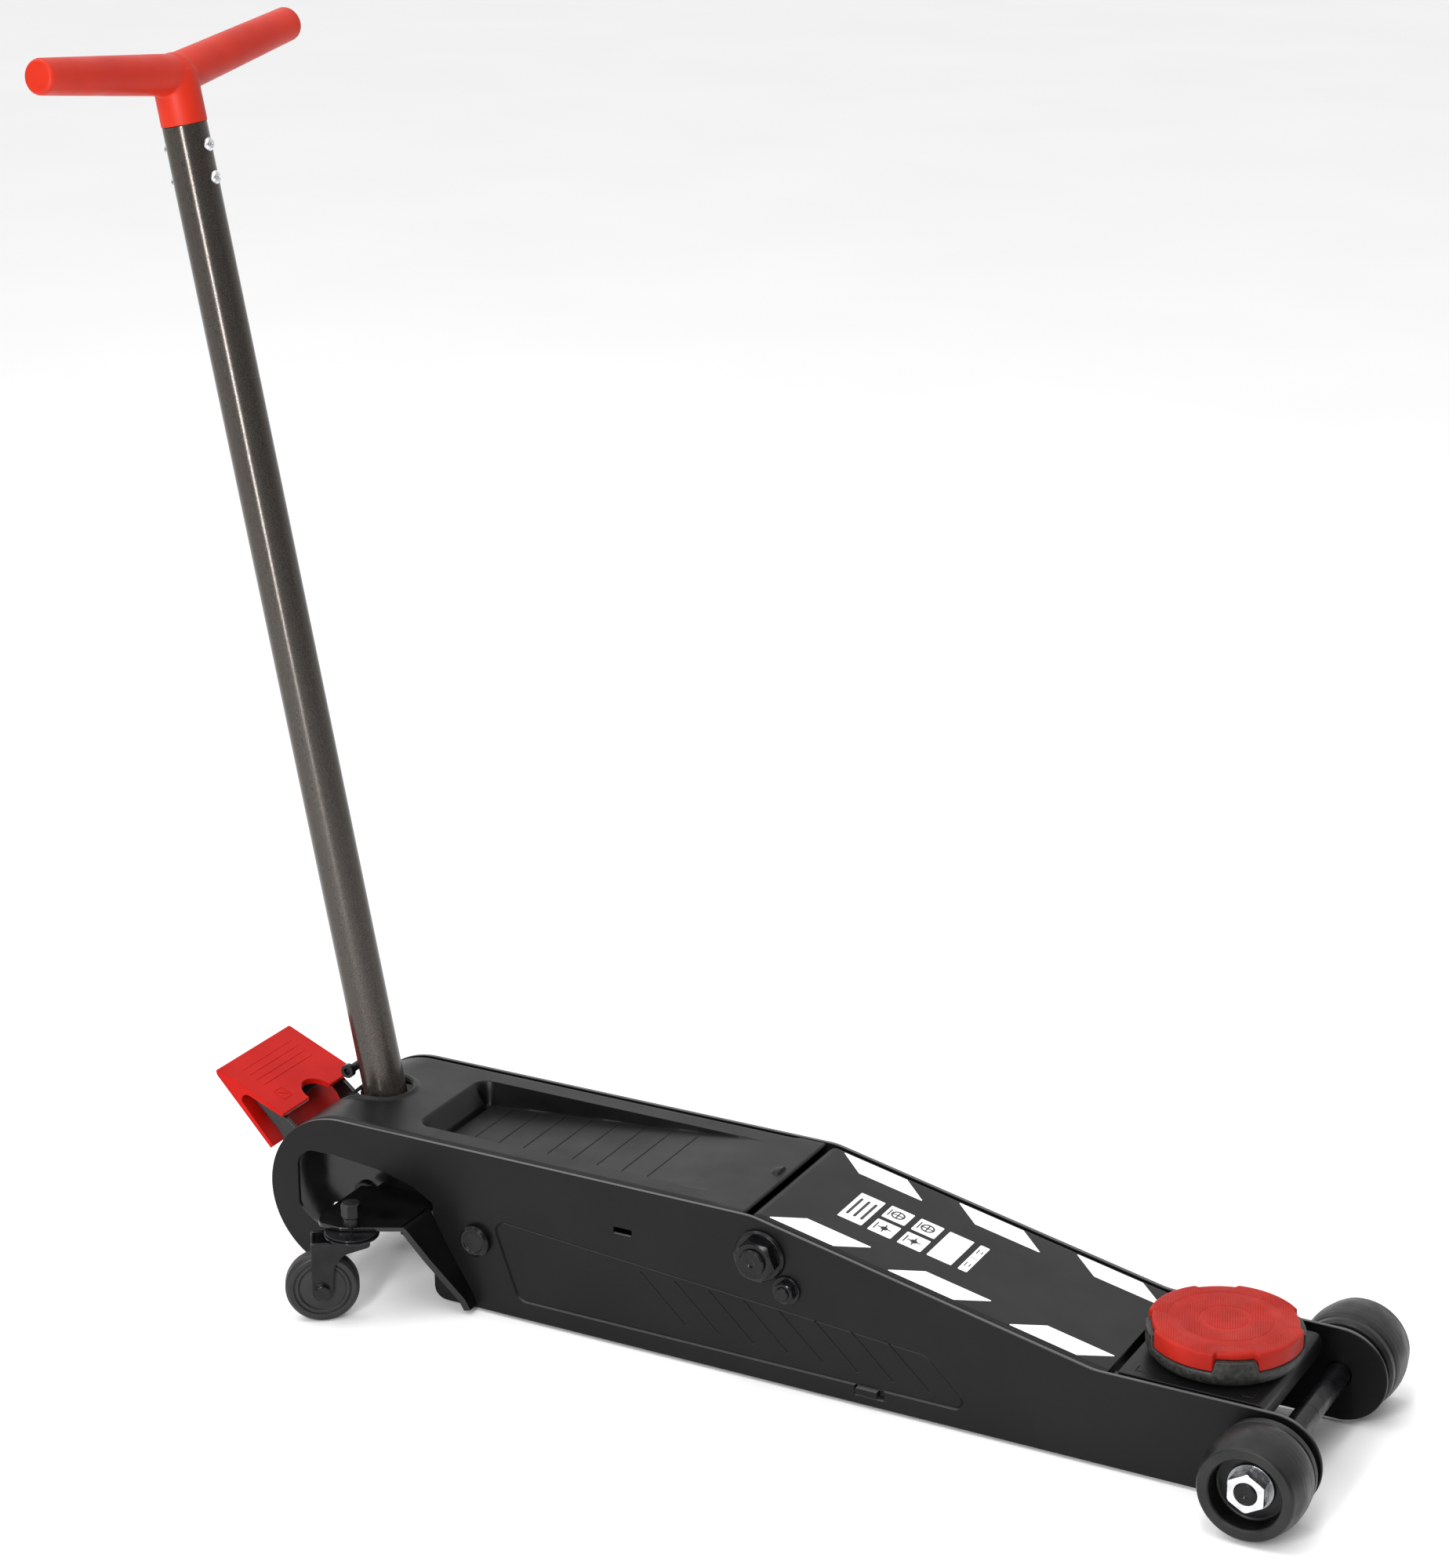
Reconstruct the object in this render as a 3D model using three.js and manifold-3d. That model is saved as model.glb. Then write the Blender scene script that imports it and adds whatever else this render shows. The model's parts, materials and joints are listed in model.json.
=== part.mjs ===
// Long-chassis hydraulic trolley jack with a T-handle and a foot pedal.
// Millimetres, +Z up, +X towards the saddle, Y = 0 on the centreline, Z = 0 on the ground.
// While the pieces are made, X = 0 is the rear end of the frame's slope. The last step moves the
// whole jack along X, so that the exported origin lies under the middle of its bounding box.
import * as THREE from "three";
import { mergeVertices } from "three/addons/utils/BufferGeometryUtils.js";
import Module from "manifold-3d";

const wasm = await Module();
wasm.setup();

// ---- Driving dimensions ----

const ORIGIN_X = -54; // middle of the bounding box, measured from the slope's rear end
const GAP = 0.3; // clearance between touching pieces
const ROUND = 16; // sides of a round piece
const SIDES = { right: -1, left: 1 };

const FRAME = {
  bottom: 3,
  top: 158,
  outer: 85.4, // half-width over the side plates
  sheet: 4,
  slopeEnd: 322, // X where the slope meets the front's level edge
  frontTop: 89.2,
  rearX: -423, // centre of the round rear end
  footX: -324.5, // rear edge of the foot, in front of the casters
};
const REAR_RADIUS = (FRAME.top - FRAME.bottom) / 2;
const FRAME_INNER = FRAME.outer - FRAME.sheet;
const SLOPE = (FRAME.top - FRAME.frontTop) / FRAME.slopeEnd; // fall per millimetre of X

const AXLE = {
  x: 479.3,
  z: 46.1,
  radius: 11,
  endRadius: 10,
  wheelEnd: 132,
  end: 148,
  washerRadius: 20.5,
  nutRadius: 17.3,
};
const WHEEL = { inner: 93, outer: 149.3, radius: 46, faceRadius: 40.4, recess: 32, bore: 11.35 };

const ARM_PIVOT = { x: 10, z: 123, radius: 12, end: 104 };
const LINK_PIVOT = { x: 36, z: 96, radius: 6 };
const ARM_FRONT = { x: 395, z: 63, radius: 8 };
const LINK_FRONT = {
  x: ARM_FRONT.x + LINK_PIVOT.x - ARM_PIVOT.x,
  z: ARM_FRONT.z + LINK_PIVOT.z - ARM_PIVOT.z,
  radius: 6,
};
const CHEEK = { inner: 56, outer: 62 }; // lift arm side plates, as distances from the centreline
const EAR = { inner: 64, outer: 68.5 };
const LINK = { inner: 70.2, outer: 75, half: 9 };

const RAM = {
  z: 73,
  rear: -200,
  radius: 14,
  drop: 50, // height of the arm's pivot over the ram's pin
  pinRadius: 8,
  swing: THREE.MathUtils.degToRad(32.5),
};
const TANK = { rear: -258, front: -112, glandFront: -100, radius: 40, glandRadius: 30 };
const PUMP_BLOCK = { rear: -360, half: 44, bottom: 14, top: 106 };
const BRACE = { rear: 96, front: 136, tabRear: 103, tabFront: 124, bottom: 13, top: 19 };
const RAM_PIN_X = ARM_PIVOT.x - RAM.drop * Math.tan(RAM.swing);

const SADDLE = {
  x: 405,
  floor: 94, // inside bottom of the cup
  cupRadius: 67,
  cupInner: 59,
  rimTop: 101.5,
  lugTop: 111.5,
  padRadius: 65.5,
  notchRadius: 62,
  padTop: 118.5,
  lugs: 4,
  lugAngle: THREE.MathUtils.degToRad(28), // direction of the first lug, seen from above
  lugHalfAngle: THREE.MathUtils.degToRad(16.5),
};
const PLATFORM = { rear: 338, front: 466, half: 72, top: 86, sheet: 6 };

const HANDLE_PIVOT = { x: -412, z: 78, radius: 8 };
const HANDLE_LEAN = Math.atan2(192, 962); // the handle leans rearward by this angle at rest
const TUBE = { radius: 20, bore: 17.5, bottom: 34, top: 981 };
const SOCKET = { half: 35, sleeve: 24, sleeveTop: 72, shieldHalf: 22, shieldRadius: 102, wall: 9 };
const CLAMP = { x: -28, z: 102, radius: 4, headRadius: 6.5 }; // bolt through the socket's split lug
const GRIP_BOLT = { upper: 961, lower: 932, radius: 3, headRadius: 6 };
const GRIP = { axis: 1024, reach: 184.7, rise: 23, rootRadius: 18.5, endRadius: 15.5 };

const PEDAL = { half: 60, reliefX: -501, reliefRadius: 17.5 };
const COVER = { half: 80.7, sheet: 3, rear: -423, front: -8 };
const TRAY = { half: 57, rear: -358, floorRear: -338, front: -66, depth: 21.5 };
const ARM_COVER = { half: 79.7, sheet: 3, front: 331, skirt: 12 };

const SWIVEL = { x: -372, y: 146, turn: THREE.MathUtils.degToRad(34) };
const CASTER = { radius: 33.5, trail: 28, half: 9.5 };
const SHELF = { top: 91, sheet: 4, inner: 57, foldX: -325.2 };
const TRUNNION = { x: -278, z: 72, radius: 12 };
const CAM = { reach: 42, radius: 11, back: THREE.MathUtils.degToRad(15) };
const PUMP = { z: 36, radius: 7, face: HANDLE_PIVOT.x - CAM.reach * Math.sin(CAM.back) + CAM.radius };
const RELEASE = { y: 28, z: 84, radius: 6 };

// ---- Materials ----

const material = (color, roughness, metalness) =>
  new THREE.MeshStandardMaterial({ color, roughness, metalness });
const LOOK = {
  paint: [0x1b1b1c, 0.45, 0.2],
  plastic: [0x202022, 0.5, 0],
  rubber: [0x232324, 0.7, 0],
  casting: [0x1f1f1e, 0.75, 0.2],
  tube: [0x4a4541, 0.35, 0.8],
  redPlastic: [0xc42a1b, 0.45, 0],
  redRubber: [0xb5302a, 0.7, 0],
  zinc: [0xc2c4c6, 0.25, 1],
  steel: [0x8a8b8d, 0.35, 1],
  blackSteel: [0x18181a, 0.4, 0.6],
};

// ---- Geometry helpers ----

const circle = (x, z, radius) => new THREE.Path().absarc(x, z, radius, 0, 2 * Math.PI, true);
const slopeTop = (x) => FRAME.top - SLOPE * x;

function outline(points) {
  return new THREE.Shape(points.map(([x, y]) => new THREE.Vector2(x, y)));
}

function extrude(shape, depth, steps = ROUND / 2) {
  return new THREE.ExtrudeGeometry(shape, { depth, bevelEnabled: false, curveSegments: steps });
}

// A shape drawn in X and Z, standing between two values of Y.
function plate(shape, y0, y1, steps) {
  return extrude(shape, Math.abs(y1 - y0), steps)
    .rotateX(Math.PI / 2)
    .translate(0, Math.max(y0, y1), 0);
}

// A shape drawn in X and Y, lying between two values of Z.
function slab(shape, z0, z1, steps) {
  return extrude(shape, z1 - z0, steps).translate(0, 0, z0);
}

// A shape drawn in Y and Z, running between two values of X.
function bar(shape, x0, x1) {
  const turn = new THREE.Matrix4().set(0, 0, 1, 0, 1, 0, 0, 0, 0, 1, 0, 0, 0, 0, 0, 1);
  return extrude(shape, x1 - x0).applyMatrix4(turn).translate(x0, 0, 0);
}

function block(x0, x1, y0, y1, z0, z1) {
  return new THREE.BoxGeometry(x1 - x0, y1 - y0, z1 - z0).translate(
    (x0 + x1) / 2,
    (y0 + y1) / 2,
    (z0 + z1) / 2,
  );
}

// Round bars along each axis; with six sides they are hexagons.
function rodY(x, z, radius, y0, y1, sides = ROUND) {
  return new THREE.CylinderGeometry(radius, radius, y1 - y0, sides).translate(x, (y0 + y1) / 2, z);
}

function rodX(y, z, radius, x0, x1, sides = ROUND) {
  return new THREE.CylinderGeometry(radius, radius, x1 - x0, sides)
    .rotateZ(-Math.PI / 2)
    .translate((x0 + x1) / 2, y, z);
}

function rodZ(x, y, radius, z0, z1, sides = ROUND) {
  return new THREE.CylinderGeometry(radius, radius, z1 - z0, sides)
    .rotateX(Math.PI / 2)
    .translate(x, y, (z0 + z1) / 2);
}

// A profile of [radius, height] turned about +Y. It is listed from the bottom up, outside first.
function turned(profile, sides = 22) {
  return new THREE.LatheGeometry(
    profile.map(([r, y]) => new THREE.Vector2(r, y)),
    sides,
  );
}

function solid(geometry) {
  const plain = geometry.index ? geometry.toNonIndexed() : geometry;
  const bare = new THREE.BufferGeometry();
  bare.setAttribute("position", plain.getAttribute("position"));
  const merged = mergeVertices(bare, 1e-3);
  return new wasm.Manifold(
    new wasm.Mesh({
      numProp: 3,
      vertProperties: new Float32Array(merged.attributes.position.array),
      triVerts: new Uint32Array(merged.index.array),
    }),
  );
}

function geometryOf(body) {
  const { vertProperties, triVerts } = body.getMesh();
  return new THREE.BufferGeometry()
    .setAttribute("position", new THREE.BufferAttribute(vertProperties, 3))
    .setIndex(new THREE.BufferAttribute(triVerts, 1));
}

// The first list of geometries joined into one body, less everything in the second list.
function shaped(joined, cuts = []) {
  const whole = joined.map(solid).reduce((a, b) => a.add(b));
  return geometryOf(cuts.map(solid).reduce((a, b) => a.subtract(b), whole));
}

const jack = new THREE.Group();

function add(parent, name, geometry, look) {
  const mesh = new THREE.Mesh(geometry, material(...LOOK[look]));
  mesh.name = name;
  parent.add(mesh);
  return mesh;
}

// ---- Chassis ----

// The outline starts at the foot and runs forward, round the front end, back along the top, round
// the rear end to the hook behind the caster, and back through the caster's pocket.
function sidePlateShape() {
  const frontRadius = (FRAME.frontTop - FRAME.bottom) / 2;
  const foot = 12;
  const shape = new THREE.Shape();
  shape.moveTo(FRAME.footX + foot, FRAME.bottom);
  shape.lineTo(AXLE.x, FRAME.bottom);
  shape.absarc(AXLE.x, AXLE.z, frontRadius, -Math.PI / 2, Math.PI / 2, false);
  shape.lineTo(FRAME.slopeEnd, FRAME.frontTop);
  shape.lineTo(0, FRAME.top);
  shape.absarc(FRAME.rearX, FRAME.top - REAR_RADIUS, REAR_RADIUS, Math.PI / 2, 1.46 * Math.PI, false);
  const pocket = [
    [-433, 30],
    [-440, 44],
    [-455, 52],
    [-466, 62],
    [-470, 76],
    [-470, 110],
    [-458, 121],
    [-430, 122],
    [-380, 118],
    [-345, 109],
    [FRAME.footX - 5, 99],
    [FRAME.footX, 91],
  ];
  pocket.forEach(([x, z]) => shape.lineTo(x, z));
  shape.lineTo(FRAME.footX, FRAME.bottom + foot);
  shape.absarc(FRAME.footX + foot, FRAME.bottom + foot, foot, Math.PI, 1.5 * Math.PI, false);
  shape.holes.push(
    circle(AXLE.x, AXLE.z, AXLE.radius + GAP),
    circle(ARM_PIVOT.x, ARM_PIVOT.z, ARM_PIVOT.radius + GAP),
    circle(LINK_PIVOT.x, LINK_PIVOT.z, LINK_PIVOT.radius + GAP),
    circle(TRUNNION.x, TRUNNION.z, TRUNNION.radius + GAP),
    slot(-136, -118, 111, 117),
    slot(BRACE.tabRear - 1, BRACE.tabFront + 6, BRACE.bottom - 2, BRACE.top + 2),
  );
  return shape;
}

function slot(x0, x1, z0, z1) {
  return new THREE.Path([
    new THREE.Vector2(x0, z0),
    new THREE.Vector2(x0, z1),
    new THREE.Vector2(x1, z1),
    new THREE.Vector2(x1, z0),
  ]);
}

function addSidePlate(name, side) {
  add(jack, "side_plate_" + name, plate(sidePlateShape(), side * FRAME_INNER, side * FRAME.outer), "paint");
}

// A flat tie across the bottom, with tabs that reach through the side plates.
function addCrossBrace() {
  const { rear, front, tabRear, tabFront, bottom, top } = BRACE;
  const half = FRAME_INNER - GAP;
  const reach = FRAME.outer + 2;
  const body = block(rear, front, -half, half, bottom, top);
  const tabs = block(tabRear, tabFront, -reach, reach, bottom, top);
  add(jack, "cross_brace", shaped([body, tabs]), "paint");
}

// Shelf over the caster, the leg that props it from the foot of the frame, and the pocket's inner wall.
function addCasterBracket(name, side) {
  const plateFace = FRAME.outer + GAP;
  const shelf = outline(
    [
      [SHELF.foldX, SHELF.inner],
      [SHELF.foldX, 129],
      [-380, 156],
      [-400, 156],
      [-407, 153],
      [-410, 146],
      [-410, 72],
      [-396, 66],
      [-396, SHELF.inner],
    ].map(([x, y]) => [x, side * y]),
  );
  const legFace = [
    [SHELF.foldX, SHELF.top],
    [-309, 58],
    [-283, 17],
    [-277, 4],
  ];
  const legBack = legFace.map(([x, z]) => [x - SHELF.sheet, z - 2]).reverse();
  const leg = plate(outline([...legFace, ...legBack]), side * plateFace, side * 130);
  const taper = bar(
    outline(
      [
        [plateFace, 0],
        [96, 0],
        [129, SHELF.top],
        [129, SHELF.top + 1],
        [plateFace, SHELF.top + 1],
      ].map(([y, z]) => [side * y, z]),
    ),
    -400,
    -200,
  );
  const legSolid = geometryOf(solid(leg).intersect(solid(taper)));
  const wall = plate(
    outline([
      [-478, 52],
      [SHELF.foldX, 84],
      [SHELF.foldX, 96],
      [-352, 122],
      [-372, 138],
      [-466, 136],
      [-478, 118],
    ]),
    side * SHELF.inner,
    side * (SHELF.inner + 3),
  );
  const stemHole = rodZ(SWIVEL.x, side * SWIVEL.y, 5.4, SHELF.top - 10, SHELF.top + 10);
  const pinHole = rodY(HANDLE_PIVOT.x, HANDLE_PIVOT.z, HANDLE_PIVOT.radius + GAP, -90, 90);
  const shelfSolid = slab(shelf, SHELF.top - SHELF.sheet, SHELF.top);
  add(
    jack,
    "caster_bracket_" + name,
    shaped([shelfSolid, legSolid, wall], [stemHole, pinHole]),
    "paint",
  );
}

function addFrontAxle() {
  const { x, z, radius, endRadius, wheelEnd, end } = AXLE;
  add(
    jack,
    "front_axle",
    shaped([rodY(x, z, radius, -wheelEnd, wheelEnd), rodY(x, z, endRadius, -end, end)]),
    "blackSteel",
  );
}

function addAxleFasteners(name, side) {
  const { x, z, endRadius, wheelEnd, washerRadius, nutRadius } = AXLE;
  const washerEnd = wheelEnd + 2.8;
  const hole = rodY(x, z, endRadius + GAP, ...sideSpan(side, wheelEnd - 10, wheelEnd + 30));
  const washer = rodY(x, z, washerRadius, ...sideSpan(side, wheelEnd + GAP, washerEnd));
  const nut = rodY(x, z, nutRadius, ...sideSpan(side, washerEnd + GAP, wheelEnd + 14.5), 6);
  add(jack, "axle_washer_" + name, shaped([washer], [hole]), "zinc");
  add(jack, "axle_nut_" + name, shaped([nut], [hole]), "zinc");
}

// Barrel-shaped front roller with a deep outer recess and a flange on its inner side.
function addFrontWheel(name, side) {
  const width = WHEEL.outer - WHEEL.inner;
  const hub = AXLE.wheelEnd - WHEEL.inner - GAP;
  const profile = [
    [WHEEL.bore, 0],
    [36, 0],
    [41.5, 1.5],
    [43.5, 5],
    [43.5, 9],
    [42.3, 10.5],
    [44, 12],
    [45.6, 20],
    [WHEEL.radius, 30],
    [45.2, 40],
    [43.4, 49],
    [42, 54],
    [WHEEL.faceRadius, width],
    [WHEEL.recess, width],
    [WHEEL.recess - 1.5, hub],
    [WHEEL.bore, hub],
    [WHEEL.bore, 0],
  ];
  const wheel = turned(profile);
  if (side < 0) wheel.rotateX(Math.PI);
  wheel.translate(AXLE.x, side * WHEEL.inner, AXLE.z);
  add(jack, "front_wheel_" + name, wheel, "rubber");
}

// ---- Hydraulic unit ----

function addTrunnionPin() {
  const { x, z, radius } = TRUNNION;
  const face = FRAME.outer + GAP;
  const cap = (y0, y1) => rodY(x, z, radius + 3, y0, y1);
  add(
    jack,
    "trunnion_pin",
    shaped([rodY(x, z, radius, -face - 3, face + 3), cap(face, face + 7), cap(-face - 7, -face)]),
    "blackSteel",
  );
}

// Pump block with the release valve and pump bores in its rear face.
function addPumpBlock() {
  const { rear, half, bottom, top } = PUMP_BLOCK;
  const { x, z, radius } = TRUNNION;
  add(
    jack,
    "pump_block",
    shaped(
      [block(rear, TANK.rear, -half, half, bottom, top)],
      [
        rodY(x, z, radius + GAP, -half - 5, half + 5),
        rodX(0, PUMP.z, PUMP.radius + GAP, rear - 10, rear + 50),
        rodX(RELEASE.y, RELEASE.z, RELEASE.radius + GAP, rear - 10, rear + 40),
      ],
    ),
    "casting",
  );
}

function addReservoir() {
  const { rear, front, glandFront, radius, glandRadius } = TANK;
  const tank = rodX(0, RAM.z, radius, rear + GAP, front, 32);
  const gland = rodX(0, RAM.z, glandRadius, front, glandFront, 32);
  const bore = rodX(0, RAM.z, RAM.radius + GAP, RAM.rear - 15, glandFront + 10);
  add(jack, "reservoir", shaped([tank, gland], [bore]), "paint");
}

function addRam() {
  const front = RAM_PIN_X - 26;
  add(jack, "ram_rod", rodX(0, RAM.z, RAM.radius, RAM.rear, front - GAP), "zinc");
  const head = block(front, RAM_PIN_X + 12, -42, 42, RAM.z - 13, RAM.z + 13);
  const pin = rodY(RAM_PIN_X, RAM.z, RAM.pinRadius, -CHEEK.outer - 4, CHEEK.outer + 4);
  add(jack, "ram_crosshead", shaped([head, pin]), "casting");
}

function addPumpPlunger() {
  const start = PUMP.face + GAP;
  const stem = rodX(0, PUMP.z, PUMP.radius, start + 5, -342);
  const head = rodX(0, PUMP.z, 10, start, start + 10);
  add(jack, "pump_plunger", shaped([stem, head]), "steel");
}

// Release valve stem with a cross-drilled fork for the handle's universal joint.
function addReleaseValve() {
  const { y, z, radius } = RELEASE;
  const stem = rodX(y, z, radius, -378, -335);
  const head = rodX(y, z, 9, -388, -378);
  const notch = block(-390, -381, y - 2.5, y + 2.5, z - 12, z + 12);
  add(jack, "release_valve_stem", shaped([stem, head], [notch]), "steel");
}

// ---- Lift arm ----

function addArmPivot() {
  const { x, z, radius, end } = ARM_PIVOT;
  add(jack, "arm_pivot_shaft", rodY(x, z, radius, -end, end), "blackSteel");
  for (const [name, side] of Object.entries(SIDES)) {
    const nutParts = [
      rodY(x, z, 24, ...sideSpan(side, FRAME.outer + GAP, FRAME.outer + 4)),
      rodY(x, z, 20.5, ...sideSpan(side, FRAME.outer + 3, FRAME.outer + 15), 6),
    ];
    const hole = rodY(x, z, radius + GAP, -120, 120);
    add(jack, "arm_pivot_nut_" + name, shaped(nutParts, [hole]), "blackSteel");
  }
}

function sideSpan(side, from, to) {
  return side < 0 ? [-to, -from] : [from, to];
}

function addLinkPivots() {
  const { x, z, radius } = LINK_PIVOT;
  for (const [name, side] of Object.entries(SIDES)) {
    const shank = rodY(x, z, radius, ...sideSpan(side, LINK.inner - 4, FRAME.outer + 11));
    const head = rodY(x, z, 9.5, ...sideSpan(side, LINK.inner - 4, LINK.inner - GAP), 6);
    add(jack, "link_pivot_bolt_" + name, shaped([shank, head]), "blackSteel");
    const nut = rodY(x, z, 10.5, ...sideSpan(side, FRAME.outer + 2.5, FRAME.outer + 9), 6);
    const washer = rodY(x, z, 13, ...sideSpan(side, FRAME.outer + GAP, FRAME.outer + 2.6));
    const hole = rodY(x, z, radius + GAP, -120, 120);
    add(jack, "link_pivot_nut_" + name, shaped([nut, washer], [hole]), "blackSteel");
  }
}

// Side plate of the lift arm: a tapering beam with a forked lug that the ram's pin pushes.
function addArmCheek(name, side) {
  const hubRadius = 21;
  const noseRadius = 14;
  const clear = 4; // distance below the arm cover's sheet
  const shape = new THREE.Shape();
  shape.moveTo(ARM_PIVOT.x, ARM_PIVOT.z + hubRadius);
  shape.absarc(ARM_PIVOT.x, ARM_PIVOT.z, hubRadius, Math.PI / 2, 1.5 * Math.PI, false);
  shape.lineTo(190, 76);
  shape.lineTo(ARM_FRONT.x, ARM_FRONT.z - noseRadius);
  shape.absarc(ARM_FRONT.x, ARM_FRONT.z, noseRadius, -Math.PI / 2, Math.PI / 2, false);
  shape.lineTo(330, slopeTop(330) - ARM_COVER.sheet - clear - 3);
  const [y0, y1] = sideSpan(side, CHEEK.inner, CHEEK.outer);
  const lug = block(-20, 20, y0, y1, -72, 0);
  const fork = block(-RAM.pinRadius - 1.8, RAM.pinRadius + 1.8, y0 - 1, y1 + 1, -80, -40);
  for (const piece of [lug, fork]) {
    piece.rotateY(RAM.swing).translate(ARM_PIVOT.x, 0, ARM_PIVOT.z);
  }
  add(
    jack,
    "lift_arm_" + name,
    shaped(
      [plate(shape, y0, y1), lug],
      [
        fork,
        rodY(ARM_PIVOT.x, ARM_PIVOT.z, ARM_PIVOT.radius + GAP, -90, 90),
        rodY(ARM_FRONT.x, ARM_FRONT.z, ARM_FRONT.radius + GAP, -90, 90),
      ],
    ),
    "paint",
  );
}

function addArmHub() {
  const { x, z, radius } = ARM_PIVOT;
  const reach = CHEEK.inner - GAP;
  const tube = rodY(x, z, 19, -reach, reach);
  const bore = rodY(x, z, radius + GAP, -reach - 5, reach + 5);
  add(jack, "lift_arm_hub", shaped([tube], [bore]), "paint");
}

function addArmPins() {
  const upper = EAR.outer + 0.8;
  add(jack, "saddle_hinge_pin", rodY(ARM_FRONT.x, ARM_FRONT.z, ARM_FRONT.radius, -upper, upper), "steel");
  const lower = LINK.outer + 2.5;
  add(jack, "link_front_pin", rodY(LINK_FRONT.x, LINK_FRONT.z, LINK_FRONT.radius, -lower, lower), "steel");
}

// Black cover on the lift arm: a sloping sheet with a rolled rear edge and a skirt along each side.
function addArmCover() {
  const { half, sheet, front, skirt } = ARM_COVER;
  const top = outline([
    [-4, 146],
    [0.5, 146],
    [2.5, 150.5],
    [8, slopeTop(8) - sheet],
    [front, slopeTop(front) - sheet],
    [front, slopeTop(front)],
    [8, slopeTop(8)],
    [1.5, 155.6],
    [-2.6, 151.5],
  ]);
  const side = outline([
    [5, slopeTop(5) - sheet - skirt],
    [front, slopeTop(front) - sheet - skirt + 4],
    [front, slopeTop(front) - 1],
    [5, slopeTop(5) - 1],
  ]);
  const skirts = [
    plate(side, half - 2.5, half),
    plate(side, -half, -half + 2.5),
  ];
  add(jack, "lift_arm_cover", shaped([plate(top, -half, half), ...skirts]), "plastic");
}

function addParallelLink(name, side) {
  const length = Math.hypot(LINK_FRONT.x - LINK_PIVOT.x, LINK_FRONT.z - LINK_PIVOT.z);
  const shape = new THREE.Shape();
  shape.absarc(0, 0, LINK.half, Math.PI / 2, 1.5 * Math.PI, false);
  shape.absarc(length, 0, LINK.half, -Math.PI / 2, Math.PI / 2, false);
  shape.holes.push(
    circle(0, 0, LINK_PIVOT.radius + GAP),
    circle(length, 0, LINK_FRONT.radius + GAP),
  );
  const body = plate(shape, ...sideSpan(side, LINK.inner, LINK.outer));
  const link = add(jack, "parallel_link_" + name, body, "paint");
  link.position.set(LINK_PIVOT.x, 0, LINK_PIVOT.z);
  link.rotation.y = Math.atan2(LINK_PIVOT.z - LINK_FRONT.z, LINK_FRONT.x - LINK_PIVOT.x);
}

// ---- Saddle ----

function addSaddlePlatform() {
  const { rear, front, half, top, sheet } = PLATFORM;
  const deck = block(rear, front, -half, half, top - sheet, top);
  const lip = block(front - sheet, front, -half, half, top - 18, top - 1);
  const earShape = outline([
    [373, top - 1],
    [381, ARM_FRONT.z - 6],
    [ARM_FRONT.x, ARM_FRONT.z - 14],
    [LINK_FRONT.x - 12, LINK_FRONT.z - 4],
    [LINK_FRONT.x - 6, LINK_FRONT.z - 11],
    [LINK_FRONT.x + 7, LINK_FRONT.z - 11],
    [LINK_FRONT.x + 12, LINK_FRONT.z + 2],
    [444, top - 1],
  ]);
  const ears = Object.values(SIDES).map((side) => plate(earShape, ...sideSpan(side, EAR.inner, EAR.outer)));
  const boss = rodZ(SADDLE.x, 0, 24, ARM_FRONT.z + 10.5, top - 1);
  const bores = [
    rodZ(SADDLE.x, 0, 14 + GAP, 60, 100),
    rodY(ARM_FRONT.x, ARM_FRONT.z, ARM_FRONT.radius + GAP, -90, 90),
    rodY(LINK_FRONT.x, LINK_FRONT.z, LINK_FRONT.radius + GAP, -90, 90),
  ];
  add(jack, "saddle_platform", shaped([deck, lip, boss, ...ears], bores), "paint");
}

// A sector of a ring, seen from above, lying between two values of Z.
function ringSector(inner, outer, middle, halfAngle, z0, z1) {
  const shape = new THREE.Shape();
  shape.absarc(0, 0, outer, middle - halfAngle, middle + halfAngle, false);
  shape.absarc(0, 0, inner, middle + halfAngle, middle - halfAngle, true);
  return slab(shape, z0, z1);
}

// One geometry for each lug of the cup, or for each gap between two lugs when shifted by a half.
function atLugs(shift, make) {
  const step = (2 * Math.PI) / SADDLE.lugs;
  return Array.from({ length: SADDLE.lugs }, (_, i) => make(SADDLE.lugAngle + (i + shift) * step));
}

// Cast cup on a short stem. Four lugs stand up from its rim and hold the pad.
function addSaddleCup() {
  const { floor, cupRadius, cupInner, rimTop, lugTop, lugs, lugHalfAngle } = SADDLE;
  const stem = ARM_FRONT.z + 11;
  const profile = [
    [0, stem],
    [14, stem],
    [14, PLATFORM.top + GAP],
    [58, PLATFORM.top + GAP],
    [64, 90],
    [cupRadius, 97],
    [cupRadius, lugTop - 1],
    [cupRadius - 1, lugTop],
    [cupInner, lugTop],
    [cupInner - 1, floor],
    [0, floor],
  ];
  const cup = turned(profile, 32).rotateX(Math.PI / 2);
  const gap = Math.PI / lugs - lugHalfAngle;
  const gaps = atLugs(0.5, (angle) =>
    ringSector(cupInner - 3, cupRadius + 5, angle, gap, rimTop, lugTop + 5),
  );
  add(jack, "saddle_cup", shaped([cup], gaps).translate(SADDLE.x, 0, 0), "casting");
}

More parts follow.
